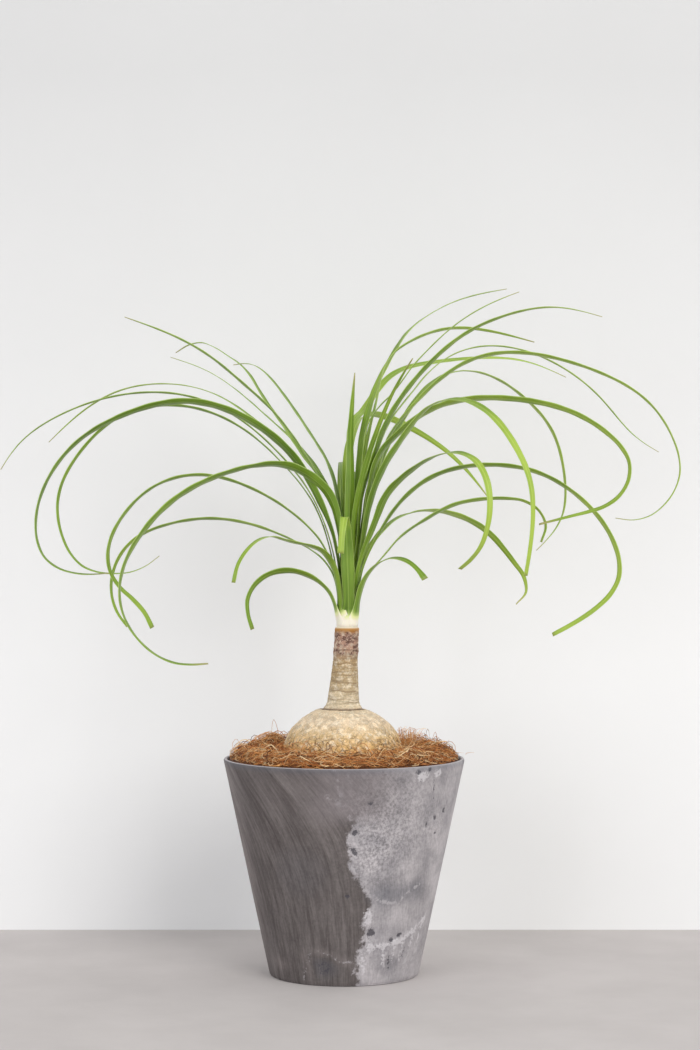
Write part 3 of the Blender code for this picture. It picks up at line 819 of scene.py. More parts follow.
        set_points(obj.data, np.column_stack((radius * np.sin(angle), -radius * np.cos(angle), points[:, 2])))
        swirl = self.swirl_turn * self.height * (np.clip(level * MM / self.height, 0, 1) ** 3) / 3
        turned = angle - swirl
        around = np.column_stack((self.swirl_radius * np.sin(turned), -self.swirl_radius * np.cos(turned)))
        set_attribute(obj.data, "swirl", np.column_stack((around, points[:, 2] * self.swirl_squash)))
        set_attribute(obj.data, "pale_side", pale / (1 + 5 * ramp(level, 132, 160)))
        near_edge = np.exp(-(pale / self.blend_reach) ** 2)
        set_attribute(obj.data, "blend", 0.92 * ramp(level, 128, 150) * near_edge)
        set_attribute(obj.data, "vein", vein_field)
        for mark, values in fields.items():
            set_attribute(obj.data, mark.value, values)

    def build(self) -> None:
        """Make the planter and hang it on the frame."""
        obj = self.tub()
        self.dress(obj)
        finish_piece(obj, self.slot, [StoneComposite().material(self.height)], (self.node,))


@dataclass
class Soil:
    """The potting soil under the mulch: the CAD node itself, dressed."""

    node: str = "potting_soil"

    def build(self) -> None:
        """Give the soil its finish."""
        obj = frame["nodes"][self.node]
        obj.data.materials.clear()
        obj.data.materials.append(PeatSoil().material())
        LOG.info("%s: dressed", self.node)


# ---------------------------------------------------------------- caudex and stem


@dataclass
class Caudex:
    """The swollen foot and the stem on it, one body of cracked bark with rings and leaf scars."""

    node: str = "trunk_and_bulb"
    slot: str = "bark"
    voxel: float = 0.7 * MM
    buried: float = 20 * MM
    half_height: float = 42 * MM
    lean: float = math.radians(3.0)
    crease: float = 222.6
    crease_radius: float = 17.0
    crease_depth: float = 0.7
    crease_width: float = 0.7
    patch_mm: float = 14.0
    break_mm: float = 3.5
    lump_mm: float = 12.0
    fine_mm: float = 2.2
    ragged_mm: float = 4.2
    ring_depth: float = 0.35
    ring_width: float = 0.42
    scar_depth: float = 0.45
    split_height: float = 271.6
    split_depth: float = 0.5
    live_from: float = 291.0
    ring_heights: tuple = (225.6, 227.9, 230.3, 232.4, 235.1, 237.5, 239.6, 241.8, 244.6, 246.7, 249.4, 251.3,
                           253.8, 256.0, 258.4, 260.2, 262.7, 264.6, 266.8)
    # (radius, height) in mm up the stem: flared foot, waist, ridge, scar band, golden ring, growing point
    profile: tuple = ((16.6, 217), (17.0, 221.5), (16.5, 223), (14.6, 225.2), (13.5, 228), (12.8, 235),
                      (11.7, 246), (10.8, 257), (10.3, 265), (10.4, 268), (11.0, 271), (10.4, 274.5),
                      (10.2, 280), (10.3, 285), (10.1, 287.5), (10.3, 289.3), (9.6, 290.6), (7.9, 291.2),
                      (7.3, 300), (6.2, 315), (4.6, 338), (3.2, 356))

    def stock(self) -> bpy.types.Object:
        """Join a squashed sphere and an extruded stem and remesh them as one skin.

        Returns:
            The plain body.
        """
        low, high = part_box(self.node)
        self.radius = (high.y - low.y) / 2
        self.centre = Vector((low.x + self.radius, (low.y + high.y) / 2, low.z + self.half_height))
        deselect_all()
        bpy.ops.mesh.primitive_uv_sphere_add(segments=96, ring_count=64, radius=self.radius,
                                             location=self.centre,
                                             scale=(1, 1, self.half_height / self.radius))
        bulb = bpy.context.object
        bulb.name = "caudex_and_stem"
        radius, level = self.profile[0]
        bpy.ops.mesh.primitive_circle_add(vertices=64, radius=radius * MM, fill_type="NGON",
                                          location=self.stem_axis(level))
        stem = bpy.context.object
        bpy.ops.object.mode_set(mode="EDIT")
        bpy.ops.mesh.select_all(action="SELECT")
        for next_radius, next_level in self.profile[1:]:
            step = self.stem_axis(next_level) - self.stem_axis(level)
            bpy.ops.mesh.extrude_region_move(TRANSFORM_OT_translate={"value": step})
            share = next_radius / radius
            bpy.ops.transform.resize(value=(share, share, 1), center_override=self.stem_axis(next_level))
            radius, level = next_radius, next_level
        bpy.ops.mesh.select_all(action="SELECT")
        bpy.ops.mesh.normals_make_consistent(inside=False)
        bpy.ops.object.mode_set(mode="OBJECT")
        make_active(bulb)
        stem.select_set(True)
        bpy.ops.object.join()
        bpy.ops.object.transform_apply(location=True, rotation=True, scale=True)
        bpy.ops.object.mode_set(mode="EDIT")
        bpy.ops.mesh.select_all(action="SELECT")
        bpy.ops.mesh.bisect(plane_co=self.centre - Vector((0, 0, self.buried)), plane_no=(0, 0, 1),
                            use_fill=True, clear_inner=True)
        bpy.ops.object.mode_set(mode="OBJECT")
        apply_modifier(bulb, "REMESH", mode="VOXEL", voxel_size=self.voxel)
        return bulb

    def stem_axis(self, level: float) -> Vector:
        """Centre of the stem at this height in mm."""
        rise = level * MM - 217 * MM
        return Vector((self.centre.x + math.tan(self.lean) * rise, self.centre.y, level * MM))

    def dress(self, obj: bpy.types.Object) -> None:
        """Raise the plates, rings and scars, and store them for the finish.

        Args:
            obj: The plain body.
        """
        points = points_of(obj.data)
        normals = np.empty(len(points) * 3)
        obj.data.vertices.foreach_get("normal", normals)
        normals = normals.reshape(-1, 3)
        level = points[:, 2] / MM
        axis = np.array([self.stem_axis(z) for z in level])
        angle = np.arctan2(points[:, 1] - axis[:, 1], points[:, 0] - axis[:, 0])
        on_bulb = level < self.crease
        depth = ramp(level, 216, 184)
        patch = cloud(points, self.patch_mm, 3, seed=2.0)
        broken = ramp(cloud(points, self.break_mm, 2, seed=12.0), -0.35, 0.25)
        cracks = on_bulb * np.clip(0.08 + 0.95 * depth + 0.4 * patch, 0.0, 1.0) * (0.35 + 0.65 * broken)
        lumps = cloud(points, self.lump_mm, 3, seed=1.0)
        fine = cloud(points, self.fine_mm, 2, seed=4.0)
        relief = np.where(on_bulb, 0.55 * lumps + 0.22 * fine, 0.12 * lumps + 0.1 * fine)
        rings = np.zeros(len(points))
        for number, height in enumerate(self.ring_heights):
            wave = 0.5 * np.sin(angle * 2 + number * 2.4) + 0.35 * np.sin(angle * 5 + number) + 0.5 * lumps
            reach = 0.4 + 0.4 * np.sin(angle + number * 1.9)
            rings = np.maximum(rings, reach * np.exp(-((level - height - wave) / self.ring_width) ** 2))
        from_axis = np.hypot(*(points - axis)[:, :2].T) / MM
        at_foot = np.abs(from_axis - self.crease_radius) < 2.2
        crease = np.exp(-((level - self.crease) / self.crease_width) ** 2) * at_foot
        scar_band = ramp(level, 266.5, 269.5) * ramp(level, 288.5, 286.0)
        ragged = cloud(points * (1, 1, 1.6), self.ragged_mm, 4, seed=9.0)
        scars = scar_band * ramp(ragged, 0.0, 0.3)
        split = scar_band * np.exp(-((level - self.split_height - 0.7 * np.sin(angle * 3)) / 0.55) ** 2)
        relief = (relief - self.ring_depth * rings - self.crease_depth * crease - self.scar_depth * scars
                  - self.split_depth * split + 0.35 * scar_band * ragged)
        relief[level > self.live_from] = 0.0
        set_points(obj.data, points + normals * relief[:, None] * MM)
        set_attribute(obj.data, "crack", np.clip(cracks, 0, 0.9))
        set_attribute(obj.data, "seam", np.clip(0.9 * crease + 0.5 * split, 0, 0.9))
        set_attribute(obj.data, "ring", np.clip(rings, 0, 0.75))
        set_attribute(obj.data, "scar", np.clip(scars, 0, 0.9))

    def build(self) -> None:
        """Make the caudex and stem and hang them on the frame."""
        obj = self.stock()
        self.dress(obj)
        finish_piece(obj, self.slot, [CorkyBark().material()], (self.node,))


# ---------------------------------------------------------------- mulch


@dataclass(frozen=True)
class Hump:
    """A soft rise or dip of the mulch, in mm."""

    x: float
    y: float
    reach: float
    rise: float


@dataclass
class CoirMulch:
    """The coir on the soil: a matted bed and the loose strands that lie and stand on it."""

    node: str = "coir_mulch"
    pot_node: str = "pot"
    slot: str = "coir"
    bulb_centre: Vector = Vector((-1.3 * MM, 0.0, 183 * MM))
    bulb_radius: float = 51 * MM
    bulb_half_height: float = 42 * MM
    bed_sides: int = 120
    bed_rows: int = 34
    bed_depth: float = 14.0
    bed_inner: float = 20.0
    rim_drop: float = 1.6
    crown: float = 187.5
    crown_radius: float = 73.0
    reach: float = 96.5
    sectors: int = 6
    strands_per_sector: int = 950
    strand_links: int = 7
    strand_length: tuple = (8, 40)
    strand_width: tuple = (0.28, 0.6)
    tuft_width: tuple = (0.2, 0.42)
    wisp_count: int = 60
    humps: tuple = (Hump(-57, 10, 13, 11), Hump(-74, 6, 14, 2), Hump(58, 14, 10, 6), Hump(72, 10, 14, 1.5),
                    Hump(10, 74, 30, 5), Hump(-60, -26, 6, -6), Hump(0, -72, 34, -2.5),
                    Hump(-30, -74, 14, -1.0), Hump(62, -30, 12, -1.5))
    tufts: tuple = ((55, 2, 206, 150), (-60, 10, 202, 70), (-76, 0, 192, 50), (70, 10, 196, 50),
                    (30, 60, 198, 60), (84, -8, 190, 30), (-40, -40, 190, 40))

    def surface(self, x: np.ndarray, y: np.ndarray) -> np.ndarray:
        """Height of the bed in mm at places in mm."""
        radius = np.hypot(x, y)
        level = np.interp(radius, (0, 46, 57, self.crown_radius, 88, self.reach + 1),
                          (184, 184, 186, self.crown, 185, self.rim - self.rim_drop))
        fade = ramp(radius, self.reach, 80)
        for hump in self.humps:
            away = ((x - hump.x) ** 2 + (y - hump.y) ** 2) / hump.reach ** 2
            level = level + hump.rise * np.exp(-away) * fade
        return level

    def bulb_surface(self, x: np.ndarray, y: np.ndarray) -> np.ndarray:
        """Height of the swollen stem's skin in mm over places in mm, or 0 outside it."""
        away = np.hypot(x - self.bulb_centre.x / MM, y) / (self.bulb_radius / MM)
        dome = np.sqrt(np.clip(1 - away ** 2, 0, 1)) * self.bulb_half_height / MM
        return np.where(away < 1, self.bulb_centre.z / MM + dome, 0.0)

    def bed(self) -> bpy.types.Object:
        """Extrude a circle inwards ring by ring into the bed, then mound it.

        Returns:
            The bed, closed underneath.
        """
        deselect_all()
        base = (self.rim - self.bed_depth) * MM
        bpy.ops.mesh.primitive_circle_add(vertices=self.bed_sides, radius=(self.reach - 3) * MM,
                                          fill_type="NGON", location=(0, 0, base))
        obj = bpy.context.object
        obj.name = "coir_bed"
        bpy.ops.object.transform_apply(location=True)
        bpy.ops.object.mode_set(mode="EDIT")
        bpy.ops.mesh.select_all(action="SELECT")
        bpy.ops.mesh.extrude_region_move(TRANSFORM_OT_translate={"value": (0, 0, 9 * MM)})
        radii = np.linspace(self.reach, self.bed_inner, self.bed_rows)
        previous = self.reach - 3
        for radius in radii:
            bpy.ops.mesh.inset(thickness=0.0)
            share = radius / previous
            bpy.ops.transform.resize(value=(share, share, 1), center_override=(0, 0, base))
            previous = radius
        bpy.ops.object.mode_set(mode="OBJECT")
        apply_modifier(obj, "SUBSURF", subdivision_type="SIMPLE", levels=1, render_levels=1)
        points = points_of(obj.data)
        top = points[:, 2] > base + 8 * MM
        x, y = points[:, 0] / MM, points[:, 1] / MM
        rough = cloud(points, 9, 4, seed=6.0) * 1.6 + cloud(points, 2.5, 2, seed=8.0) * 0.5
        level = self.surface(x, y) + rough * ramp(np.hypot(x, y), self.reach + 1, 84)
        points[:, 2] = np.where(top, level * MM, points[:, 2])
        set_points(obj.data, points)
        return obj

    def lay(self, starts: np.ndarray, headings: np.ndarray, lengths: np.ndarray, arcs: np.ndarray,
            dice: np.random.Generator) -> np.ndarray:
        """Let strands wander over the bed.

        Args:
            starts: Where each begins, as x and y in mm.
            headings: Which way each sets out, in radians.
            lengths: Each strand's length in mm.
            arcs: How high each arches over the bed in mm.
            dice: The random numbers.

        Returns:
            Points in mm, by strand and link.
        """
        count = len(starts)
        links = self.strand_links
        curl = dice.normal(0, 0.4, count)
        climb = np.where(dice.uniform(0, 1, count) < 0.1, dice.uniform(2, 11, count), 0.5)[:, None]
        ways = np.empty((count, links, 3))
        here = starts.copy()
        heading = headings.copy()
        for link in range(links):
            ways[:, link, :2] = here
            way = np.column_stack((np.cos(heading), np.sin(heading)))
            here = here + way * (lengths / (links - 1))[:, None]
            out = np.hypot(here[:, 0], here[:, 1])
            pull = np.clip((out - 86) / 9, 0, 1)
            heading = heading + curl + dice.normal(0, 0.16, count)
            inward = np.arctan2(-here[:, 1], -here[:, 0])
            turn = (inward - heading + math.pi) % (2 * math.pi) - math.pi
            heading = heading + turn * pull * 0.55
        radius = np.hypot(ways[..., 0], ways[..., 1])
        held = np.minimum(radius, self.reach - 0.6)
        ways[..., :2] *= (held / np.maximum(radius, 1e-6))[..., None]
        share = np.linspace(0, 1, links)[None, :]
        arch = arcs[:, None] * np.sin(math.pi * share) ** 0.8
        ground = self.surface(ways[..., 0], ways[..., 1])
        skin = self.bulb_surface(ways[..., 0], ways[..., 1])
        ways[..., 2] = np.maximum(ground, np.minimum(skin, ground + climb)) + 0.5 + arch
        return ways

    def tuft(self, x: float, y: float, top: float, count: int, dice: np.random.Generator) -> np.ndarray:
        """Strands that spring out of one place and curl over.

        Args:
            x: Place in mm.
            y: Place in mm.
            top: About how high they reach, in mm.
            count: How many strands.
            dice: The random numbers.

        Returns:
            Points in mm, by strand and link.
        """
        share = np.linspace(0, 1, self.strand_links)[None, :]
        turn = dice.uniform(0, 2 * math.pi, count)[:, None]
        lean = np.abs(dice.normal(0, 8.0, count))[:, None]
        ground = self.surface(np.array([x]), np.array([y]))[0]
        rise = (top - ground) * dice.uniform(0.2, 1.1, count)[:, None]
        root = dice.normal(0, 4.5, (count, 2))
        swing = turn + dice.normal(0, 1.1, count)[:, None] * share
        out = lean * share ** 1.4
        ways = np.empty((count, self.strand_links, 3))
        ways[..., 0] = x + root[:, :1] + np.cos(swing) * out
        ways[..., 1] = y + root[:, 1:] + np.sin(swing) * out
        ways[..., 2] = ground - 1 + rise * np.sin(share * math.pi * dice.uniform(0.5, 0.85, count)[:, None])
        return ways

    def wisps(self, count: int, dice: np.random.Generator) -> np.ndarray:
        """A few hair-thin strands that stand well clear of the bed.

        Args:
            count: How many.
            dice: The random numbers.

        Returns:
            Points in mm, by strand and link.
        """
        turn = dice.uniform(0, 2 * math.pi, count)
        where = dice.uniform(58, 88, count)
        starts = np.column_stack((np.cos(turn), np.sin(turn))) * where[:, None]
        ways = self.lay(starts, dice.uniform(0, 2 * math.pi, count), dice.uniform(14, 34, count),
                        dice.uniform(0, 2, count), dice)
        share = np.linspace(0, 1, self.strand_links)[None, :]
        ways[..., 2] += dice.uniform(4, 15, count)[:, None] * share ** 1.6
        return ways

    def strands(self, name: str, ways: np.ndarray, widths: np.ndarray, tints: np.ndarray) -> bpy.types.Object:
        """Copy one three-sided strand along every way.

        Args:
            name: The piece's name.
            ways: Points in mm, by strand and link.
            widths: Each strand's width in mm.
            tints: Each strand's place between the darkest and the palest colour.

        Returns:
            The strands as one piece.
        """
        deselect_all()
        bpy.ops.mesh.primitive_cylinder_add(vertices=3, radius=0.5, depth=1.0, end_fill_type="NGON")
        model = bpy.context.object
        bpy.ops.object.mode_set(mode="EDIT")
        for cut in range(1, self.strand_links - 1):
            bpy.ops.mesh.select_all(action="SELECT")
            bpy.ops.mesh.bisect(plane_co=(0, 0, cut / (self.strand_links - 1) - 0.5), plane_no=(0, 0, 1))
        bpy.ops.object.mode_set(mode="OBJECT")
        shape = points_of(model.data)
        faces = [tuple(face.vertices) for face in model.data.polygons]
        bpy.data.objects.remove(model)
        link = np.rint((shape[:, 2] + 0.5) * (self.strand_links - 1)).astype(int)
        tangent = np.gradient(ways, axis=1)
        tangent /= np.maximum(np.linalg.norm(tangent, axis=2, keepdims=True), 1e-6)
        side = np.cross(tangent, (0.0, 0.0, 1.0))
        side /= np.maximum(np.linalg.norm(side, axis=2, keepdims=True), 1e-6)
        lift = np.cross(side, tangent)
        taper = np.sin(np.linspace(0.25, 0.9, self.strand_links) * math.pi)
        width = widths[:, None] * taper[None, :]
        points = (ways[:, link] + side[:, link] * (shape[:, 0] * width[:, link])[..., None]
                  + lift[:, link] * (shape[:, 1] * width[:, link])[..., None])
        mesh = bpy.data.meshes.new(name)
        size = len(shape)
        every = [tuple(v + strand * size for v in face) for strand in range(len(ways)) for face in faces]
        mesh.from_pydata((points.reshape(-1, 3) * MM).tolist(), [], every)
        mesh.update()
        obj = bpy.data.objects.new(name, mesh)
        bpy.context.scene.collection.objects.link(obj)
        set_attribute(mesh, "tint", np.repeat(tints, size))
        return obj

    def build(self) -> None:
        """Make the bed and the strands and hang them on the frame."""
        self.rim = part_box(self.pot_node)[1].z / MM
        finish_piece(self.bed(), self.slot, [Coir().material(CoirUse.BED)], (self.node,))
        skin = Coir().material(CoirUse.STRAND)
        dice = np.random.default_rng(SEED)
        count = self.strands_per_sector
        for sector in range(self.sectors):
            turn = (sector + dice.uniform(0, 1, count)) * 2 * math.pi / self.sectors
            where = np.sqrt(dice.uniform(47 ** 2, 95 ** 2, count))
            starts = np.column_stack((np.cos(turn), np.sin(turn))) * where[:, None]
            ways = self.lay(starts, dice.uniform(0, 2 * math.pi, count),
                            dice.uniform(*self.strand_length, count), dice.gamma(1.1, 2.0, count), dice)
            widths = dice.uniform(*self.strand_width, count) + 0.4 * (dice.uniform(0, 1, count) < 0.08)
            tints = np.clip(dice.normal(0.5, 0.33, count), 0, 1)
            finish_piece(self.strands(f"coir_strands_{sector + 1}", ways, widths, tints), self.slot, [skin])
        loose = [self.tuft(*tuft, dice) for tuft in self.tufts] + [self.wisps(self.wisp_count, dice)]
        ways = np.concatenate(loose)
        tints = np.clip(dice.normal(0.72, 0.2, len(ways)), 0, 1)
        finish_piece(self.strands("coir_tufts", ways, dice.uniform(*self.tuft_width, len(ways)), tints),
                     self.slot, [skin])


# ---------------------------------------------------------------- crown


class Tip(Enum):
    """How a leaf ends: grown out to a thread, or cut across."""

    THREAD = "thread"
    CUT = "cut"


@dataclass(frozen=True)
class LeafStyle:
    """One leaf's own look.

    tone runs from dark to light green, or is left to the leaf's place in the crown, where leaves further
    right are painted lighter as if lit from the right. broad widens the blade at three places along it, turn
    rolls it further, in degrees, at four, and tip_tone lightens its far end.
    """

    tone: float | None = None
    tip: Tip = Tip.THREAD
    broad: tuple = (1.35, 1.25, 1.15)
    turn: tuple = (0, 0, 0, 0)
    tip_tone: float = 0.0


@dataclass
class LeafBlade:
    """One strap leaf: a channelled blade on the route of its CAD node, clasping the crown at its foot."""

    node: str
    tone: float
    style: LeafStyle
    slot: str = "leaf"
    step: float = 3 * MM
    columns: int = 8
    thickness: float = 0.45 * MM
    broad_at: tuple = (0.1, 0.5, 1.0)
    turn_at: tuple = (0.04, 0.15, 0.35, 0.6, 0.9)
    sheath_half: float = 7.6 * MM
    sheath_fade: float = 13 * MM
    wrap_radius: float = 8.0 * MM
    wrap_fade: float = 16 * MM
    sheath_low: float = 290.8 * MM
    sheath_drop: float = 24 * MM
    axis: Vector = Vector((2.8 * MM, 0.0, 0.0))
    channel: tuple = (0.34, 0.22, 0.14, 0.08)
    ripple: float = 0.035
    ripple_length: float = 23 * MM
    pale_levels: tuple = (308, 293)
    pale_margin: float = 4.5
    pale_wander: float = 1.6

    def spine(self) -> np.ndarray:
        """Read the leaf's sections from its solid.

        Returns:
            One row for each section from foot to tip: centre, side, up and half width.
        """
        solid = bmesh.new()
        solid.from_mesh(frame["nodes"][self.node].data)
        bmesh.ops.remove_doubles(solid, verts=solid.verts, dist=0.001 * MM)
        caps = sorted(solid.faces, key=lambda face: face.calc_perimeter())[:2]
        foot = min(caps, key=lambda face: (face.calc_center_median() - self.axis).to_2d().length)
        ring, seen, rows = list(foot.verts), set(foot.verts), []
        while ring:
            turns = [ring[n:3] + ring[:n] for n in range(3)]
            left, right, keel = max(turns, key=lambda p: (p[0].co - p[1].co).length)
            side = (right.co - left.co) / 2
            centre = (right.co + left.co) / 2
            if rows and side.dot(Vector(rows[-1][3:6])) < 0:
                side = -side
            rows.append((*centre, *side.normalized(), *(centre - keel.co).normalized(), side.length))
            ring = list(dict.fromkeys(e.other_vert(v) for v in ring for e in v.link_edges
                                      if e.other_vert(v) not in seen))
            seen.update(ring)
        solid.free()
        table = np.array(rows)
        forward = table[1, :3] - table[0, :3]
        if np.dot(np.cross(table[0, 3:6], forward), table[0, 6:9]) < 0:
            table[:, 3:6] *= -1
        return table

    def stations(self) -> tuple[np.ndarray, np.ndarray]:
        """Read the spine closely, with the sheath below the foot before it.

        Returns:
            The stations as rows like the spine's, and each one's distance in metres beyond the foot.
        """
        table = self.spine()
        knots = np.concatenate(([0.0], np.cumsum(np.linalg.norm(np.diff(table[:, :3], axis=0), axis=1))))
        count = max(12, int(knots[-1] / self.step))
        at = np.linspace(0, knots[-1], count)
        slopes = np.gradient(table, knots, axis=0)
        index = np.clip(np.searchsorted(knots, at, side="right") - 1, 0, len(knots) - 2)
        span = (knots[index + 1] - knots[index])[:, None]
        t = (at - knots[index])[:, None] / span
        rows = ((2 * t ** 3 - 3 * t ** 2 + 1) * table[index]
                + (t ** 3 - 2 * t ** 2 + t) * span * slopes[index]
                + (3 * t ** 2 - 2 * t ** 3) * table[index + 1]
                + (t ** 3 - t ** 2) * span * slopes[index + 1])
        foot = table[0, :3]
        radial = np.array((foot[0] - self.axis.x, foot[1], 0.0))
        reach = np.linalg.norm(radial)
        radial = radial / reach
        drop = min(self.sheath_drop, foot[2] - self.sheath_low)
        levels = np.arange(foot[2] - drop, foot[2] - 1 * MM, self.step)
        sheath = np.tile(rows[0], (len(levels), 1))
        if len(levels):
            swell = (self.bulge(foot[2]) - reach) * ramp(levels, foot[2] - drop, foot[2])
            out = np.array([self.bulge(level) for level in levels]) - swell
            sheath[:, :3] = np.column_stack((self.axis.x + radial[0] * out, radial[1] * out, levels))
            sheath[:, 6:9] = -radial
            across = np.cross((0.0, 0.0, 1.0), -radial)
            sheath[:, 3:6] = across * (1 if np.dot(across, rows[0][3:6]) > 0 else -1)
        every = np.vstack((sheath, rows))
        steps = np.linalg.norm(np.diff(every[:, :3], axis=0), axis=1)
        along = np.concatenate(([0.0], np.cumsum(steps)))
        return every, along - along[len(levels)]

    def bulge(self, level: float) -> float:
        """Radius of the sheath bundle around the growing point at this height."""
        return float(np.interp(level / MM, (290, 300, 315, 338, 356), (8.5, 8.1, 7.0, 5.2, 3.8))) * MM

    def build(self, skins: list[bpy.types.Material]) -> None:
        """Make the blade and hang it on the frame.

        Args:
            skins: The finish of its upper face and of its underside.
        """
        rows, along = self.stations()
        count = len(rows)
        deselect_all()
        bpy.ops.mesh.primitive_grid_add(x_subdivisions=self.columns, y_subdivisions=count - 1, size=1.0)
        obj = bpy.context.object
        obj.name = f"{self.node}_blade"
        flat = points_of(obj.data)
        u = flat[:, 0] * 2
        station = np.rint((flat[:, 1] + 0.5) * (count - 1)).astype(int)
        distance = along[station]
        centre, side, up = rows[station, :3], rows[station, 3:6], rows[station, 6:9]
        side = side / np.linalg.norm(side, axis=1, keepdims=True)
        up = up / np.linalg.norm(up, axis=1, keepdims=True)
        whole = along[-1]
        share = np.clip(distance / whole, 0, 1)
        turn = np.radians(np.interp(share, self.turn_at, (0, *self.style.turn)))[:, None]
        side, up = side * np.cos(turn) + up * np.sin(turn), up * np.cos(turn) - side * np.sin(turn)
        near_foot = np.exp(-(np.clip(distance, 0, None) / self.sheath_fade) ** 1.2)
        half = np.clip(rows[station, 9], 0.2 * MM, None) * np.interp(share, self.broad_at, self.style.broad)
        half = half + (self.sheath_half - half) * near_foot
        if self.style.tip is Tip.CUT:
            half = half * np.interp(whole - distance, (0, 1.5 * MM), (0.93, 1.0))
        curve = np.exp(-(np.clip(distance, 0, None) / self.wrap_fade)) / self.wrap_radius
        bend = np.maximum(curve, 1.0)
        turned = u * half * bend
        across = np.sin(turned) / bend
        rise = (1 - np.cos(turned)) / bend
        channel = np.interp(distance / max(whole, 1e-6), (0, 0.25, 0.7, 1.0), self.channel) * half
        rise = rise + channel * (np.abs(u) ** 1.5 - 0.45) * (1 - near_foot)
        phase = self.tone * 40
        ripple = self.ripple * half * np.sin(distance / self.ripple_length * 2 * math.pi + phase) * u
        points = centre + side * across[:, None] + up * (rise + ripple)[:, None]
        set_points(obj.data, points)
        paling = points[:, 2] / MM - self.pale_margin * np.abs(u) ** 3 + self.pale_wander * math.sin(phase)
        bleach = ramp(paling, *self.pale_levels) * ramp(distance / MM, 46, 16)
        dry_length, dryness = (2.2 * MM, 0.35) if self.style.tip is Tip.CUT else (22 * MM, 0.7)
        dry = ramp(whole - distance, dry_length, 0.2 * MM) * dryness
        tone = self.tone - 0.16 * near_foot + 0.1 * ramp(distance, 0.1, 0.35)
        set_attribute(obj.data, "tone", tone + self.style.tip_tone * ramp(share, 0.58, 0.66))
        set_attribute(obj.data, "bleach", bleach)
        set_attribute(obj.data, "dry", dry)
        for skin in skins:
            obj.data.materials.append(skin)
        apply_modifier(obj, "SOLIDIFY", thickness=self.thickness, offset=-1.0, material_offset=1,
                       material_offset_rim=0, use_even_offset=False)
        finish_piece(obj, self.slot, skins, (self.node,))


@dataclass
class Crown:
    """The whole head of leaves, oldest and lowest first."""

    count: int = 34
    styles: dict = field(default_factory=lambda: {
        1: LeafStyle(0.42, Tip.CUT, turn=(0, -3, -12, -38)),
        2: LeafStyle(0.5, Tip.CUT, (1.3, 1.2, 1.35), (0, 3, -2, -25)),
        3: LeafStyle(0.58, Tip.CUT, turn=(0, 0, 12, 38)),
        4: LeafStyle(None, Tip.CUT),
        5: LeafStyle(0.38, Tip.CUT, tip_tone=0.45),
        6: LeafStyle(0.5, Tip.CUT, (1.2, 1.1, 1.05), (-4, -8, 9, 2)),
        7: LeafStyle(0.72, turn=(-6, -14, -8, 12)),
        8: LeafStyle(0.48, Tip.CUT, (1.1, 0.9, 1.25), (5, 17, 27, -5)),
        9: LeafStyle(0.42, Tip.CUT, (1.1, 1.0, 1.4), (3, 7, 8, 40), 0.3),
        11: LeafStyle(None, Tip.THREAD, (1.0, 0.9, 0.8), (0, -4, 11, 5)),
        12: LeafStyle(0.42, Tip.CUT, (0.95, 1.05, 1.15), (4, 9, -15, -15), 0.45),
        13: LeafStyle(0.36, Tip.THREAD, (1.2, 0.9, 0.9)),
        15: LeafStyle(0.45, Tip.CUT, turn=(0, -2, -20, -20), tip_tone=0.4),
        16: LeafStyle(0.6, Tip.THREAD, (1.1, 0.9, 0.8), (4, 12, 8, 6)),
        17: LeafStyle(0.6, Tip.THREAD, (1.45, 1.15, 1.0), (0, 2, 15, 38)),
        18: LeafStyle(0.28, Tip.THREAD, (1.4, 1.25, 1.15), (-38, -10, 7, 9)),
        19: LeafStyle(None, Tip.THREAD, (1.3, 1.1, 1.0), (-5, -12, -22, -25)),
        20: LeafStyle(None, Tip.THREAD, (1.3, 0.85, 0.75), (-4, -9, -18, -20)),
        21: LeafStyle(0.42, Tip.THREAD, (1.5, 1.25, 1.15), (-40, -8, -20, -4)),
        22: LeafStyle(None, Tip.THREAD, (1.35, 1.0, 0.75), (0, -1, -8, -8)),
        24: LeafStyle(0.5),
        25: LeafStyle(0.5, Tip.THREAD, (1.6, 1.15, 1.0), (-4, -8, -9, -8)),
        26: LeafStyle(None, turn=(4, 8, 13, 10)),
        27: LeafStyle(0.62, turn=(0, 2, 15, 15)),
        28: LeafStyle(None, Tip.THREAD, (1.15, 1.1, 1.0), (-16, -18, -3, 3)),
        29: LeafStyle(None, turn=(0, -4, -8, -6)),
        30: LeafStyle(None, Tip.THREAD, (1.3, 1.0, 0.8), (0, 0, 3, 10)),
        31: LeafStyle(None, Tip.THREAD, (1.1, 1.0, 0.9)),
        32: LeafStyle(0.75, turn=(5, 15, 55, 50)),
        33: LeafStyle(0.7, turn=(-8, -20, -55, -60)),
        34: LeafStyle(0.45, Tip.THREAD, (1.1, 0.95, 0.9))})

    def build(self) -> None:
        """Make every leaf of the crown."""
        skins = [LeafSkin().material(face) for face in BladeFace]
        dice = np.random.default_rng(SEED)
        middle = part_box("trunk_and_bulb")
        centre = (middle[0].x + middle[1].x) / 2
        for number in range(1, self.count + 1):
            node = f"leaf_{number:02d}"
            low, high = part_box(node)
            # Leaves that stand further to the right get a lighter green: painted light, as the key light
            # comes from the right. The rest of the tone is random.
            lean = ((low.x + high.x) / 2 - centre) / (100 * MM)
            tone = 0.5 + 0.09 * lean + 0.05 * dice.uniform(-1, 1)
            style = self.styles.get(number, LeafStyle())
            LeafBlade(node, tone if style.tone is None else style.tone, style).build(skins)


# ---------------------------------------------------------------- studio


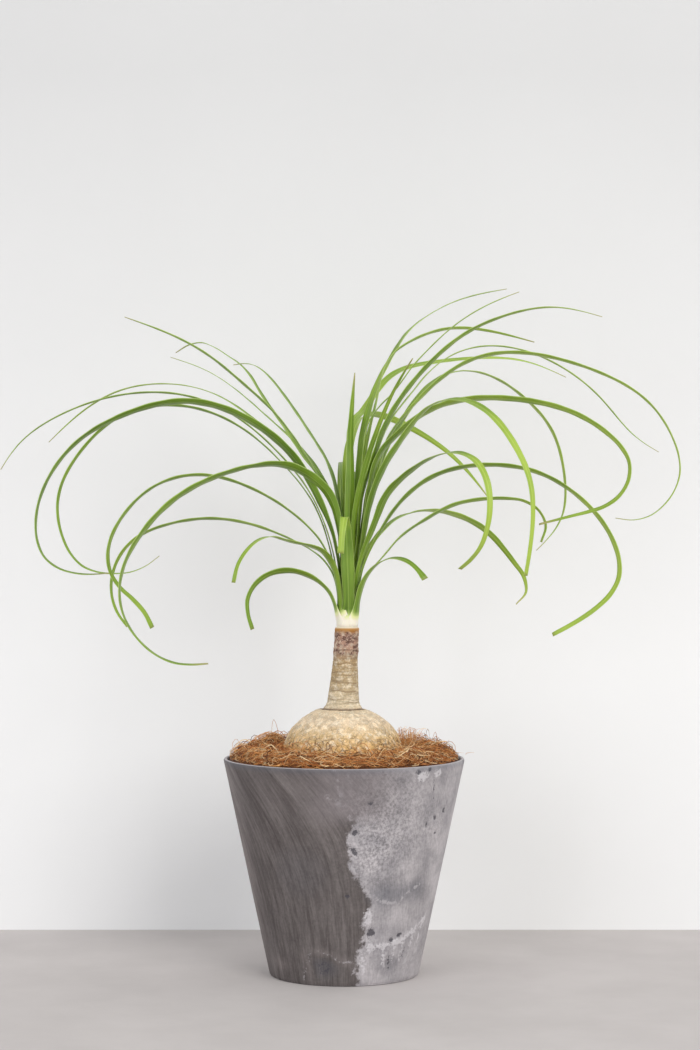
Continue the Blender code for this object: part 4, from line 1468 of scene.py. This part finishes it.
@dataclass
class Studio:
    """Plain pale floor and backdrop, soft light and the camera."""

    wall_y: float = 0.223
    floor_reach: float = 2.6
    wall_height: float = 1.9
    lens: float = 85.0
    camera_place: tuple = (0.005, -2.083, 0.3765)
    lit_point: tuple = (0, 0.1, 0.35)
    air_colour: str = "#f6f7f6"
    air_strength: float = 0.74

    def backdrop(self) -> None:
        """Lay the floor up to the wall and stand the wall behind."""
        deselect_all()
        bpy.ops.mesh.primitive_plane_add(size=1.0)
        floor = bpy.context.object
        floor.name = "studio_floor"
        floor.scale = (self.floor_reach * 2, self.floor_reach * 2, 1)
        bpy.ops.object.transform_apply(location=True, rotation=True, scale=True)
        floor.data.materials.append(StudioPaint("cast_floor", ("#c4bebd", "#cdc7c6"), 130).material())
        deselect_all()
        bpy.ops.mesh.primitive_plane_add(size=1.0, rotation=(math.radians(90), 0, 0))
        wall = bpy.context.object
        wall.name = "studio_wall"
        wall.scale = (self.floor_reach * 2, self.wall_height, 1)
        wall.location = (0, self.wall_y, self.wall_height / 2)
        bpy.ops.object.transform_apply(location=True, rotation=True, scale=True)
        # The wall is painted up to a quarter darker towards its top: painted shade.
        paint = StudioPaint("painted_wall", ("#f0f0f1", "#f2f2f3"), 220, True, 0.75)
        wall.data.materials.append(paint.material())

    def light(self, name: str, place: tuple, size: float, power: float, colour: str) -> None:
        """Hang one square soft light that faces the plant.

        Args:
            name: The light's name.
            place: Where it hangs, in metres.
            size: Its side in metres.
            power: Its power in watts.
            colour: Its sRGB hex colour.
        """
        lamp = bpy.data.lights.new(name, "AREA")
        lamp.shape = "SQUARE"
        lamp.size = size
        lamp.energy = power
        lamp.color = linear(colour)[:3]
        obj = bpy.data.objects.new(name, lamp)
        bpy.context.scene.collection.objects.link(obj)
        obj.location = place
        obj.rotation_euler = (Vector(self.lit_point) - Vector(place)).to_track_quat("-Z", "Y").to_euler()

    def build(self) -> None:
        """Set the stage, the lights, the world and the camera."""
        scene = bpy.context.scene
        scene.view_settings.view_transform = "Standard"
        self.backdrop()
        self.light("window", (2.0, -3.2, 1.9), 2.3, 78.0, "#fffefa")
        self.light("bounce", (-2.4, -2.9, 1.1), 2.2, 34.0, "#f7f9ff")
        world = scene.world or bpy.data.worlds.new("studio_air")
        scene.world = world
        world.use_nodes = True
        air = world.node_tree.nodes["Background"]
        air.inputs["Color"].default_value = linear(self.air_colour)
        air.inputs["Strength"].default_value = self.air_strength
        camera = bpy.data.cameras.new("camera")
        camera.lens = self.lens
        camera.sensor_width = 36.0
        camera.clip_start = 0.05
        obj = bpy.data.objects.new("camera", camera)
        scene.collection.objects.link(obj)
        obj.location = self.camera_place
        obj.rotation_euler = (math.radians(90), 0, 0)
        scene.camera = obj
        LOG.info("studio: floor, wall, two lights, camera")


def main() -> None:
    """Build the studio and every sub-assembly."""
    logging.basicConfig(level=logging.INFO, format="%(name)s %(message)s")
    for part in (Studio(), Planter(), Soil(), Caudex(), CoirMulch(), Crown()):
        part.build()


if __name__ == "__main__":
    main()
